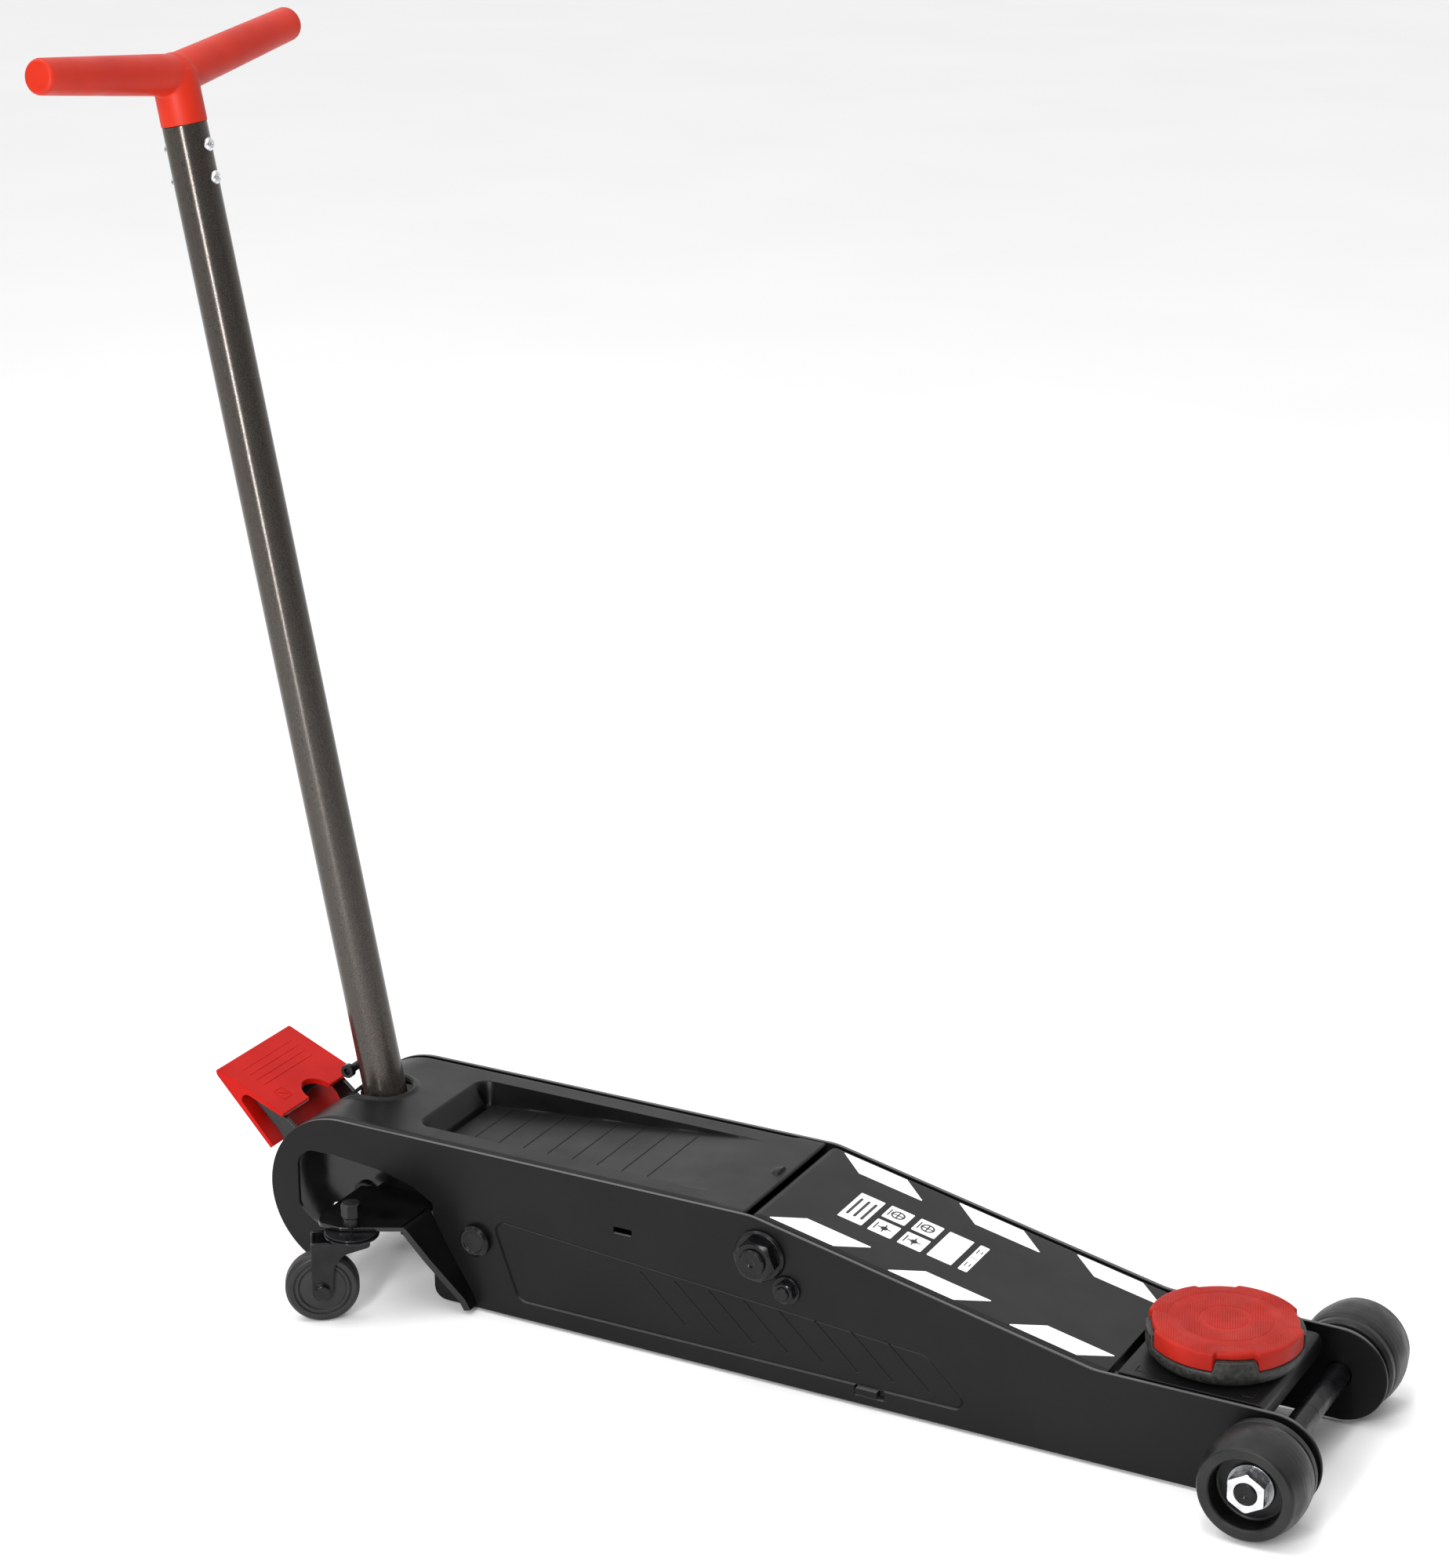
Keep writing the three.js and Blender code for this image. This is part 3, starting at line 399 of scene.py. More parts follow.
def piece(name, made, nodes, body, slot, look, place=ROOT, sharp=32, smooth_all=False):
    """Finishes a solid as a shown piece that stands for CAD nodes and rides on a body."""
    made.name = name
    made.data.name = name
    made.data.transform(Matrix.Scale(MM, 4))
    made.data.materials.clear()
    made.data.materials.append(look)
    made.data.polygons.foreach_set("material_index", [0] * len(made.data.polygons))
    made.data.shade_smooth()
    if not smooth_all:
        made.data.set_sharp_from_angle(angle=math.radians(sharp))
    made.matrix_world = place
    step = made.modifiers.new("normals", "WEIGHTED_NORMAL")
    step.keep_sharp = True
    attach(made, body)
    if nodes:
        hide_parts(*nodes)
    return made


# ---- Materials ----


def linear(colour):
    """Linear colour of a display colour given as 0 to 255."""
    parts = [c / 255 for c in colour]
    return [c / 12.92 if c < 0.04 else ((c + 0.055) / 1.055) ** 2.4 for c in parts] + [1]


class Look:
    """A Principled material built up by noise layers."""

    def __init__(self, name, roughness, metallic=0.0, specular=0.5):
        self.material = bpy.data.materials.new(name)
        self.material.use_nodes = True
        self.tree = self.material.node_tree
        self.shader = self.tree.nodes["Principled BSDF"]
        self.roughness = roughness
        self.shader.inputs["Metallic"].default_value = metallic
        self.shader.inputs["Specular IOR Level"].default_value = specular
        self.place = self.node("TexCoord").outputs["Object"]
        self.normal = None

    def node(self, kind, **values):
        made = self.tree.nodes.new("ShaderNode" + kind)
        for key, value in values.items():
            if hasattr(made, key):
                setattr(made, key, value)
            else:
                made.inputs[key.replace("_", " ")].default_value = value
        return made

    def link(self, source, target):
        self.tree.links.new(source, target)

    def noise(self, scale, detail, distortion=0.0):
        made = self.node("TexNoise", Scale=scale, Detail=detail, Distortion=distortion)
        self.link(self.place, made.inputs["Vector"])
        return made.outputs[0]

    def ramp(self, source, low, high, dark, light):
        made = self.node("ValToRGB")
        first, second = made.color_ramp.elements
        first.position, first.color = low, dark
        second.position, second.color = high, light
        self.link(source, made.inputs[0])
        return made.outputs[0]

    def span(self, source, low, high, start=0.3, end=0.7):
        made = self.node("MapRange", From_Min=start, From_Max=end, To_Min=low, To_Max=high)
        self.link(source, made.inputs[0])
        return made.outputs[0]

    def colour(self, dark, light, scale, low=0.35, high=0.65, detail=4.0):
        source = self.noise(scale, detail)
        self.tint = self.ramp(source, low, high, linear(dark), linear(light))
        self.link(self.tint, self.shader.inputs["Base Color"])
        return self

    def worn_upward(self, colour, start, end):
        """Painted highlight: a lighter tint on surfaces that face up, standing in for light falling from
        above.
        """
        direction = self.node("SeparateXYZ")
        self.link(self.node("TexCoord").outputs["Normal"], direction.inputs[0])
        return self.tinted(self.span(direction.outputs[2], 0.0, 1.0, start, end), colour)

    def dark_core(self, centre, radius):
        """Painted shade: a near-black tint inside a radius about a crosswise axis, standing in for the
        shadow deep in a wheel's hub.
        """
        flat = self.node("VectorMath", operation="MULTIPLY")
        self.link(self.place, flat.inputs[0])
        flat.inputs[1].default_value = (1, 0, 1)
        away = self.node("VectorMath", operation="DISTANCE")
        self.link(flat.outputs[0], away.inputs[0])
        away.inputs[1].default_value = (centre.x * MM, 0, centre.z * MM)
        edge = radius * MM
        return self.tinted(self.span(away.outputs["Value"], 1.0, 0.0, edge, edge + MM), (5, 5, 5))

    def tinted(self, share, colour):
        """The base colour mixed with another one."""
        mix = self.node("Mix", data_type="RGBA")
        self.link(share, mix.inputs[0])
        self.link(self.tint, mix.inputs[6])
        mix.inputs[7].default_value = linear(colour)
        self.link(mix.outputs[2], self.shader.inputs["Base Color"])
        return self

    def haze(self, scale, amount, detail=4.0):
        source = self.noise(scale, detail, 0.4)
        low, high = self.roughness - amount, self.roughness + amount
        self.link(self.span(source, low, high), self.shader.inputs["Roughness"])
        return self

    def grain(self, scale, strength, depth, detail=2.0):
        """Fine relief. Depth is in millimetres."""
        made = self.node("Bump", Strength=strength, Distance=depth * MM)
        self.link(self.noise(scale, detail), made.inputs["Height"])
        if self.normal:
            self.link(self.normal, made.inputs["Normal"])
        self.normal = made.outputs[0]
        self.link(self.normal, self.shader.inputs["Normal"])
        return self


def make_looks():
    paint = Look("frame paint", 0.36, specular=0.15)
    paint.colour((13, 13, 14), (18, 18, 19), 9).haze(14, 0.05)
    # Painted highlight: up-facing paint, such as the plates' top edges, is tinted lighter as if lit from
    # above.
    paint.grain(420, 0.12, 0.10).grain(38, 0.05, 0.5).worn_upward((84, 84, 85), 0.55, 0.9)

    deck = Look("deck paint", 0.34, specular=0.17)
    deck.colour((15, 15, 16), (21, 21, 22), 9).haze(14, 0.05)
    deck.grain(420, 0.12, 0.10).grain(38, 0.05, 0.5)

    plastic = Look("black plastic", 0.38, specular=0.19)
    plastic.colour((6, 6, 7), (10, 10, 11), 12).haze(22, 0.06)
    # Painted highlight: up-facing plastic is tinted a little lighter as if lit from above.
    plastic.grain(1500, 0.16, 0.05).grain(30, 0.06, 0.5).worn_upward((19, 19, 20), 0.8, 1.0)

    roller = Look("roller", 0.42, specular=0.3)
    roller.colour((16, 16, 16), (27, 27, 26), 40, detail=6).haze(60, 0.12)
    # Painted shade: the roller is tinted near-black inside 31 mm of the axle, for the shadow in its hub
    # recess.
    roller.grain(900, 0.2, 0.08).dark_core(AXLE, 31)

    tyre = Look("caster tyre", 0.55, specular=0.4)
    tyre.colour((15, 15, 16), (23, 23, 24), 60).haze(80, 0.1).grain(1200, 0.2, 0.06)

    casting = Look("casting", 0.55, specular=0.45)
    casting.colour((25, 25, 25), (50, 49, 47), 260, detail=6).haze(120, 0.14)
    casting.grain(330, 0.75, 0.5, detail=5).grain(1100, 0.35, 0.15)

    gloss = Look("glossy casting", 0.2, specular=0.4)
    gloss.colour((6, 6, 7), (13, 13, 13), 30).haze(40, 0.06)
    gloss.grain(160, 0.12, 0.3)

    tube = Look("tube paint", 0.2, metallic=0.65, specular=0.3)
    tube.colour((46, 42, 39), (88, 83, 78), 1700, 0.4, 0.6, detail=2)
    tube.haze(900, 0.05, detail=2).grain(1100, 0.2, 0.1)

    red_plastic = Look("red plastic", 0.4, specular=0.1)
    red_plastic.colour((164, 14, 8), (178, 20, 12), 18).haze(26, 0.06)
    red_plastic.grain(1300, 0.12, 0.05)

    grip = Look("grip", 0.46, specular=0.2)
    grip.colour((166, 32, 13), (180, 39, 18), 16).haze(30, 0.06)
    grip.grain(1500, 0.14, 0.05)

    rubber = Look("red rubber", 0.5, specular=0.14)
    rubber.colour((148, 24, 14), (164, 34, 22), 35, detail=6).haze(45, 0.1)
    rubber.grain(700, 0.2, 0.08)

    zinc = Look("zinc", 0.3, metallic=1.0)
    zinc.colour((196, 198, 200), (226, 228, 230), 90).haze(240, 0.08).grain(600, 0.1, 0.04)

    steel = Look("steel", 0.3, metallic=1.0)
    steel.colour((118, 119, 121), (156, 157, 158), 80).haze(160, 0.1).grain(700, 0.15, 0.05)

    black_steel = Look("black steel", 0.24, specular=0.22)
    black_steel.colour((10, 10, 11), (20, 20, 22), 70).haze(90, 0.1).grain(800, 0.15, 0.05)

    label = Look("label", 0.35, specular=0.5)
    label.colour((226, 227, 226), (240, 240, 239), 45, detail=6).haze(60, 0.08)
    label.grain(900, 0.05, 0.03)

    ink = Look("ink", 0.4, specular=0.4)
    ink.colour((30, 30, 31), (40, 40, 41), 90).haze(60, 0.06).grain(900, 0.05, 0.03)
    return {name: look.material for name, look in locals().items()}


LOOKS = make_looks()
SLOTS = {
    "paint": "frame_paint",
    "plastic": "black_plastic",
    "roller": "roller",
    "deck": "frame_paint",
    "tyre": "caster_tyre",
    "casting": "casting",
    "gloss": "casting",
    "tube": "handle_paint",
    "red_plastic": "red_plastic",
    "grip": "red_plastic",
    "rubber": "red_rubber",
    "zinc": "zinc",
    "steel": "steel",
    "black_steel": "black_steel",
    "label": "black_plastic",
    "ink": "black_plastic",
}


def finish(name, made, body, look, nodes=None, place=ROOT, **options):
    """A piece in one of the looks. It stands for the CAD node of its own name unless told otherwise."""
    nodes = [name] if nodes is None else nodes
    shown = name if name not in frame["nodes"] else name + ".fine"
    return piece(shown, made, nodes, body, SLOTS[look], LOOKS[look], place, **options)


# ---- Chassis ----


def side_plate_outline():
    foot, bend = 12, 60
    hook_end = 262.8
    front = arc(AXLE.x, AXLE.z, FRONT_RADIUS, -90, 90, 40)
    rear = arc(REAR_X, REAR_Z, REAR_RADIUS, 90, hook_end, 60)
    pocket = [
        (-433, 30, 4),
        (-440, 44, 10),
        (-455, 52, 10),
        (-470, 64, 10),
        (-470, 110, 14),
        (-458, 122, 14),
        (-430, 122, 30),
        (-380, 118, 30),
        (-345, 109, 20),
        (FOOT_X, 97, 4),
        (FOOT_X, FRAME_BOTTOM, foot),
    ]
    slope = [(SLOPE_END, FRONT_TOP, bend), (0, FRAME_TOP, bend)]
    return rounded([*front, *slope, *rear, *pocket], 0)


def panel_outline():
    corners = [(-263, 97, 10), (169, 66, 22), (207, 29, 9), (199, 20, 6), (-235, 20, 12)]
    return rounded(corners, 8)


def inset(loop, distance):
    """A clockwise outline moved inwards."""
    loop = np.array(loop)
    ahead = np.roll(loop, -1, 0) - np.roll(loop, 1, 0)
    ahead /= np.linalg.norm(ahead, axis=1)[:, None]
    return loop + distance * np.stack([ahead[:, 1], -ahead[:, 0]], 1)


def panel_grooves(side):
    """Slanted grooves pressed in the panel's front half."""
    count, first, pitch, slant = 8, -109, 34.3, 1.07
    half_width, depth = 0.9, 2.4
    for i in range(count):
        x = first + i * pitch
        top = 78 - 1.3 * i
        bottom = 37 - 0.85 * i
        line = capsule(x, top, x + (top - bottom) * slant, bottom, half_width)
        near, far = side_span(side, FRAME_OUTER - depth, FRAME_OUTER + 3)
        yield extruded([line], near, far, 0.2)


def add_side_plate(name, side):
    holes = [
        circle(AXLE.x, AXLE.z, AXLE_BORE),
        circle(ARM_PIVOT.x, ARM_PIVOT.z, ARM_BORE),
        circle(LINK_PIVOT.x, LINK_PIVOT.z, LINK_BORE),
        circle(TRUNNION.x, TRUNNION.z, ARM_BORE),
        rectangle(-136, -118, 111, 117, 1.2),
        rectangle(102, 130, 11, 21, 1.5),
    ]
    inner, outer = side_span(side, FRAME_INNER, FRAME_OUTER)
    body = extruded([side_plate_outline(), *holes], inner, outer, 1.1, steps=3)
    depth, channel_radius = 1.2, 0.9
    near, far = side_span(side, FRAME_OUTER - depth, FRAME_OUTER + 6)
    recess = extruded([panel_outline()], near, far, 0.5, steps=3)
    border = [(x, side * (FRAME_OUTER - depth), z) for x, z in inset(panel_outline(), 1.4)]
    channel = wire(border, channel_radius, closed=True)
    body = cut(body, recess, joined(*panel_grooves(side)), channel)
    finish("side_plate_" + name, body, "chassis", "paint", sharp=24)


def add_cross_brace():
    low, high = node_box("cross_brace")
    half = FRAME_INNER - GAP
    body = extruded([rectangle(96, 136, low.z, high.z, 1.5)], -half, half, 0.8)
    tabs = extruded([rectangle(103, 124, low.z, high.z, 1.5)], low.y, high.y, 0.8)
    finish("cross_brace", fused(body, tabs), "chassis", "paint")


def add_caster_bracket(name, side):
    """Shelf over the caster, the folded leg under it and the inner wall of the caster's pocket."""
    swivel = joint_place("caster_swivel_" + name)
    inner = BRACKET_INNER
    face = FRAME_OUTER + GAP
    shelf = [
        (FOOT_X - 3, inner, 1),
        (FOOT_X - 3, 129, 4),
        (-380, 156, 12),
        (-402, 156, 12),
        (-410, 140, 10),
        (-410, 72, 2),
        (-396, 66, 2),
        (-396, inner, 1),
    ]
    outline = [(x, side * y) for x, y in rounded(shelf, 2)]
    plate = extruded([outline], SHELF_Z - SHELF_SHEET, SHELF_Z, 0.9, "XY", 3)
    hole = rod((swivel.x, swivel.y, 0), "Z", STEM_BORE, SHELF_Z - 20, SHELF_Z + 20, KEEN)
    wall_outline = [
        (-494, 70),
        (-484, 42),
        (-464, 31),
        (-454, 36),
        (-450, 60),
        (-325, 84),
        (-325, 96),
        (-352, 122),
        (-372, 138),
        (-474, 136),
        (-494, 118),
    ]
    wall = extruded([rounded(wall_outline, 6)], *side_span(side, inner, inner + 3), 0.8)
    wall = cut(wall, bore(HANDLE_PIVOT, PIN_BORE))
    body = joined(cut(plate, hole), caster_leg(side, face), wall)
    finish("caster_bracket_" + name, body, "chassis", "gloss")


def caster_leg(side, face):
    """The sheet that folds down from the shelf's front edge to the frame's foot, with a turned rim."""
    line = arc(FOOT_X - 5, SHELF_Z - 5, 5, 90, 28, 8) + [(-309, 58), (-283, 17), (-279, 6)]
    line = np.array([(-331, SHELF_Z), *line])
    reach = np.interp(line[:, 1], [4, 17, SHELF_Z], [97, 100, 129])
    rim, thick, rounding = 7, SHELF_SHEET, 1
    edge = 1 - thick / 45
    section = [(0, 0), (1, 0), (1, rim), (edge, rim), (edge, thick), (0, thick)]
    ahead = np.gradient(line, axis=0)
    ahead /= np.linalg.norm(ahead, axis=1)[:, None]
    rings = []
    for (x, z), (dx, dz), far in zip(line, ahead, reach):
        ring = [(x + dz * h, side * (face + (far - face) * w), z - dx * h) for w, h in section]
        rings.append(ring)
    made = from_rings(np.array(rings), close_ring=True, close_ends=False, fill_ends=True)
    step = made.modifiers.new("soft edges", "BEVEL")
    step.width = rounding
    step.segments = 3
    step.limit_method = "ANGLE"
    step.angle_limit = math.radians(40)
    return baked(made)


def add_front_axle():
    half = [
        (0, 0),
        (11, 0),
        (11, WHEEL_END),
        (10, WHEEL_END),
        (10, AXLE_END - 1.2),
        (8.8, AXLE_END),
        (3.4, AXLE_END, 0.2),
        (0.0, AXLE_END - 2.2, 0),
    ]
    centre = (AXLE.x, 0, AXLE.z)
    right = turned(half, centre, "Y", 0.4)
    left = turned([(r, -h, *rest) for r, h, *rest in half], centre, "Y", 0.4)
    finish("front_axle", joined(right, left), "chassis", "black_steel")


def add_axle_fasteners(name, side):
    centre = (AXLE.x, 0, AXLE.z)
    inner, outer, washer_end = 10.3, 20.5, WHEEL_END + 2.8
    low, high = side_span(side, WHEEL_END + GAP, washer_end)
    ring = [(inner, low), (outer, low), (outer, high), (inner, high)]
    finish("axle_washer_" + name, turned(ring, centre, "Y", 0.8), "chassis", "steel")
    low, high = side_span(side, washer_end + GAP, WHEEL_END + 14.5)
    nut = hexagon(centre, "Y", 17.9, low, high, inner, 1.08)
    finish("axle_nut_" + name, nut, "chassis", "zinc", sharp=22)


def add_front_wheel(name, side):
    start, end = 93, 149.3
    width = end - start
    hub = WHEEL_END - start - GAP
    tread = [(44.0, 12.0), (45.2, 16.5), (45.8, 22), (46, 28), (45.8, 34), (45.2, 39), (44.2, 44), (43, 49)]
    profile = [
        (AXLE_BORE + 0.05, 0, 0.5),
        (36, 0, 1.5),
        (41.5, 0.6, 2),
        (43.7, 3.5, 2),
        (43.7, 9, 1.2),
        (42.2, 10.4, 1),
        *[(r, h, 6) for r, h in tread],
        (42, 53.6, 3),
        (40.6, width, 1.6),
        (32.4, width, 1.2),
        (31, width - 1.6, 1),
        (30.4, hub, 2.5),
        (AXLE_BORE + 0.05, hub, 0.4),
    ]
    line = [(r, side * (start + h)) for r, h in rounded(profile, 1)]
    wheel = turned(line, (AXLE.x, 0, AXLE.z), "Y", 0, 128)
    finish("front_wheel_" + name, wheel, "front_wheel_" + name, "roller", sharp=40)


def add_hydraulics():
    face = FRAME_OUTER + GAP
    step, end = face + 6, face + 7
    line = [(0, face, 0), (15, face), (15, face + 4.6), (12.4, end), (10.4, end), (9.6, step), (0, step, 0)]
    caps = []
    for side in SIDES.values():
        caps.append(turned([(r, side * h, *rest) for r, h, *rest in line], TRUNNION, "Y", 0.5))
    pin = joined(rod(TRUNNION, "Y", 12, -face - 1, face + 1), *caps)
    finish("trunnion_pin", pin, "chassis", "black_steel")

    low, high = node_box("pump_block")
    block = extruded([rectangle(low.x, high.x, low.z, high.z, 5)], low.y, high.y, 2.0)
    block = cut(
        block,
        bore(TRUNNION, ARM_BORE),
        rod((0, 0, PUMP_Z), "X", 7.3, -370, -310, KEEN),
        rod((0, VALVE_Y, VALVE_Z), "X", 6.3, -370, -320, KEEN),
    )
    finish("pump_block", block, "chassis", "casting")

    low, high = node_box("reservoir")
    ram_bore, tank_radius, neck, shoulder = 14.3, 40, 30, high.x - 12
    tank = [
        (ram_bore, low.x),
        (tank_radius, low.x, 3),
        (tank_radius, shoulder, 3),
        (neck, shoulder, 1),
        (neck, high.x, 2),
        (ram_bore, high.x),
    ]
    finish("reservoir", turned(tank, (0, 0, RAM_Z), "X", 1, 96), "chassis", "paint")

    low, high = node_box("ram_rod")
    finish("ram_rod", rod((0, 0, RAM_Z), "X", 14, low.x, high.x, 1.5), "ram", "zinc")
    low, high = node_box("ram_crosshead")
    pin_x = ARM_PIVOT.x - (ARM_PIVOT.z - RAM_Z) * math.tan(LUG_LEAN)
    head = extruded([rectangle(low.x, high.x, RAM_Z - 13, RAM_Z + 13, 5)], -42, 42, 2)
    pin = rod((pin_x, 0, RAM_Z), "Y", 8, low.y, high.y)
    finish("ram_crosshead", fused(head, pin), "ram", "casting")

    low, high = node_box("pump_plunger")
    stem = rod((0, 0, PUMP_Z), "X", 7, low.x + 5, high.x)
    head = rod((0, 0, PUMP_Z), "X", 10, low.x, low.x + 10, 1.5)
    finish("pump_plunger", fused(stem, head), "pump_plunger", "steel")
    low, high = node_box("release_valve_stem")
    centre = (0, VALVE_Y, VALVE_Z)
    stem = fused(rod(centre, "X", 6, -379, high.x), rod(centre, "X", 9, low.x, -378, 1.2))
    slot = rectangle(low.x - 5, -381, VALVE_Z - 14, VALVE_Z + 14)
    notch = extruded([slot], VALVE_Y - 2.5, VALVE_Y + 2.5, KEEN)
    finish("release_valve_stem", cut(stem, notch), "release_valve", "steel")


# ---- Lift arm ----


def add_pivot_fasteners(name, side):
    x, z = ARM_PIVOT.x, ARM_PIVOT.z
    near, far = side * (FRAME_OUTER + GAP), side * (FRAME_OUTER + 4.4)
    line = [(ARM_BORE, near), (23.4, near), (24, (near + far) / 2), (22, far), (ARM_BORE, far)]
    flange = turned(line[::side], (x, 0, z), "Y", 0.8)
    low, high = side_span(side, FRAME_OUTER + 3, FRAME_OUTER + 15)
    nut = hexagon((x, 0, z), "Y", 20.5, low, high, ARM_BORE, 0.92, 0.35)
    finish("arm_pivot_nut_" + name, joined(flange, nut), "chassis", "black_steel", sharp=22)

    x, z = LINK_PIVOT.x, LINK_PIVOT.z
    low, high = side_span(side, FRAME_OUTER + GAP, FRAME_OUTER + 2.6)
    washer = [(LINK_BORE, low), (13, low), (13, high), (LINK_BORE, high)]
    washer = turned(washer, (x, 0, z), "Y", 0.7)
    low, high = side_span(side, FRAME_OUTER + 2.7, FRAME_OUTER + 9)
    nut = hexagon((x, 0, z), "Y", 10.5, low, high, LINK_BORE, 0.92, 0.2)
    finish("link_pivot_nut_" + name, joined(washer, nut), "chassis", "black_steel", sharp=22)
    shank = rod((x, 0, z), "Y", 6, *side_span(side, 66.2, FRAME_OUTER + 11), 1)
    low, high = side_span(side, 66.2, 69.9)
    head = hexagon((x, 0, z), "Y", 9.5, low, high, 0.0)
    finish("link_pivot_bolt_" + name, joined(shank, head), "chassis", "black_steel", sharp=22)


def add_arm_pivot_shaft():
    end = node_box("arm_pivot_shaft")[1].y
    dimple = 2.0
    line = [(0, -end + dimple, 0), (4, -end), (10.6, -end), (12, -end + 1.4)]
    line += mirrored(line)
    shaft = turned(line, (ARM_PIVOT.x, 0, ARM_PIVOT.z), "Y", 0.4)
    finish("arm_pivot_shaft", shaft, "chassis", "black_steel")


def add_lift_arm(name, side):
    hub, nose = 21, 14
    clear = 10
    rear = arc(ARM_PIVOT.x, ARM_PIVOT.z, hub, 90, 270, 24)
    front = arc(ARM_FRONT.x, ARM_FRONT.z, nose, -90, 90, 24)
    outline = [*rear, (190, 76), *front, (330, slope_top(330) - clear)]
    inner, outer = side_span(side, 56, 62)
    hinge = Matrix.Translation(ARM_PIVOT) @ Matrix.Rotation(LUG_LEAN, 4, "Y")
    lug = moved(extruded([rectangle(-20, 20, -72, 0, 3)], inner, outer, 0.8), hinge)
    fork = moved(extruded([rectangle(-9.8, 9.8, -90, -40, 4)], inner - 1, outer + 1, 0.1), hinge)
    body = fused(extruded([outline], inner, outer, 0.8), lug)
    holes = [bore(ARM_PIVOT, ARM_BORE), bore(ARM_FRONT, PIN_BORE)]
    finish("lift_arm_" + name, cut(body, fork, *holes), "lift_arm", "paint")


def add_arm_parts():
    half, radius = 55.7, 19
    hub = [(ARM_BORE, -half), (radius, -half), (radius, half), (ARM_BORE, half)]
    finish("lift_arm_hub", turned(hub, ARM_PIVOT, "Y", 0.8), "lift_arm", "paint")
    for name, body, spot, radius in (
        ("saddle_hinge_pin", "lift_arm", ARM_FRONT, 8),
        ("link_front_pin", "saddle_platform", LINK_FRONT, 6),
    ):
        low, high = node_box(name)
        pin = rod((spot.x, 0, spot.z), "Y", radius, low.y, high.y, 1.2)
        finish(name, pin, body, "steel")


def add_parallel_link(name, side):
    line = capsule(LINK_PIVOT.x, LINK_PIVOT.z, LINK_FRONT.x, LINK_FRONT.z, 9)
    holes = [circle(p.x, p.z, LINK_BORE, 32) for p in (LINK_PIVOT, LINK_FRONT)]
    link = extruded([line, *holes], *side_span(side, 70.2, 75), 0.7)
    finish("parallel_link_" + name, link, "parallel_links", "paint")


COVER_SHEET = 3


def add_arm_cover():
    """A sloping sheet with a rolled rear edge and a soft bend down to each skirt."""
    half, rear, front = node_box("lift_arm_cover")[1].y, 5.5, 331
    roll, bend, skirt = 9.0, 5.0, 12.0
    lip_drop, lip_sheet = 34, 2.8
    heading = math.atan(SLOPE)
    along = Vector((math.cos(heading), -math.sin(heading)))
    up = Vector((math.sin(heading), math.cos(heading)))
    start = Vector((rear, slope_top(rear)))
    centre = start - up * roll
    angles = [*range(172, 90, -12), 90 - math.degrees(heading)]
    line = [centre + Vector((math.cos(a), math.sin(a))) * roll for a in np.radians(angles)]
    length = (front - rear) / along.x
    steps = 24
    line += [start + along * length * k / steps for k in range(1, steps + 1)]
    across = [(-half, -skirt)]
    for side, angles in ((-1, range(180, 80, -15)), (1, range(90, -10, -15))):
        for a in np.radians(list(angles)):
            across.append((side * (half - bend) + bend * math.cos(a), -bend + bend * math.sin(a)))
    across.append((half, -skirt))
    middle = [(y, 0.0) for y in np.linspace(-half + bend, half - bend, 17)[1:-1]]
    split = len(across) // 2
    across = across[:split] + middle + across[split:]
    rings = []
    for i, spot in enumerate(line):
        ahead = line[min(i + 1, len(line) - 1)] - line[max(i - 1, 0)]
        normal = Vector((-ahead.y, ahead.x)).normalized()
        ring = [(spot.x + normal.x * h, y, spot.y + normal.y * h) for y, h in across]
        rings.append(ring)
    made = from_rings(np.array(rings), close_ring=False, close_ends=False)
    made = thickened(made, COVER_SHEET, (150, 0, 400))
    reach, top = half - 9, slope_top(front)
    lip_outline = rectangle(-reach, reach, top - lip_drop, top - 1.5, 2)
    lip = extruded([lip_outline], front - 1.2 - lip_sheet, front - 1.2, 0.5, "YZ")
    finish("lift_arm_cover", joined(made, lip), "lift_arm", "plastic", sharp=38)


def thickened(made, sheet, outside):
    """The surface given a thickness on the side away from a point above it."""
    mesh = made.data
    towards = Vector(outside)
    balance = sum((towards - p.center).dot(p.normal) * p.area for p in mesh.polygons)
    if balance < 0:
        mesh.flip_normals()
    step = made.modifiers.new("sheet", "SOLIDIFY")
    step.thickness = sheet
    step.offset = -1
    step.use_even_offset = False
    return baked(made)


STICKER_SKIN = 0.22


def sticker(outline, lift=0.0, radius=0.8):
    """A thin label on the slope, from an outline of (distance along the slope, y)."""
    shape = rounded(outline, radius, 4)
    made = extruded([shape], lift, lift + STICKER_SKIN, 0.08, "XY", 1)
    turn = Matrix.Rotation(math.atan(SLOPE), 4, "Y")
    return moved(made, Matrix.Translation((0, 0, FRAME_TOP)) @ turn)


def patch(s, y, length, width):
    return rectangle(s - length / 2, s + length / 2, y - width / 2, y + width / 2)


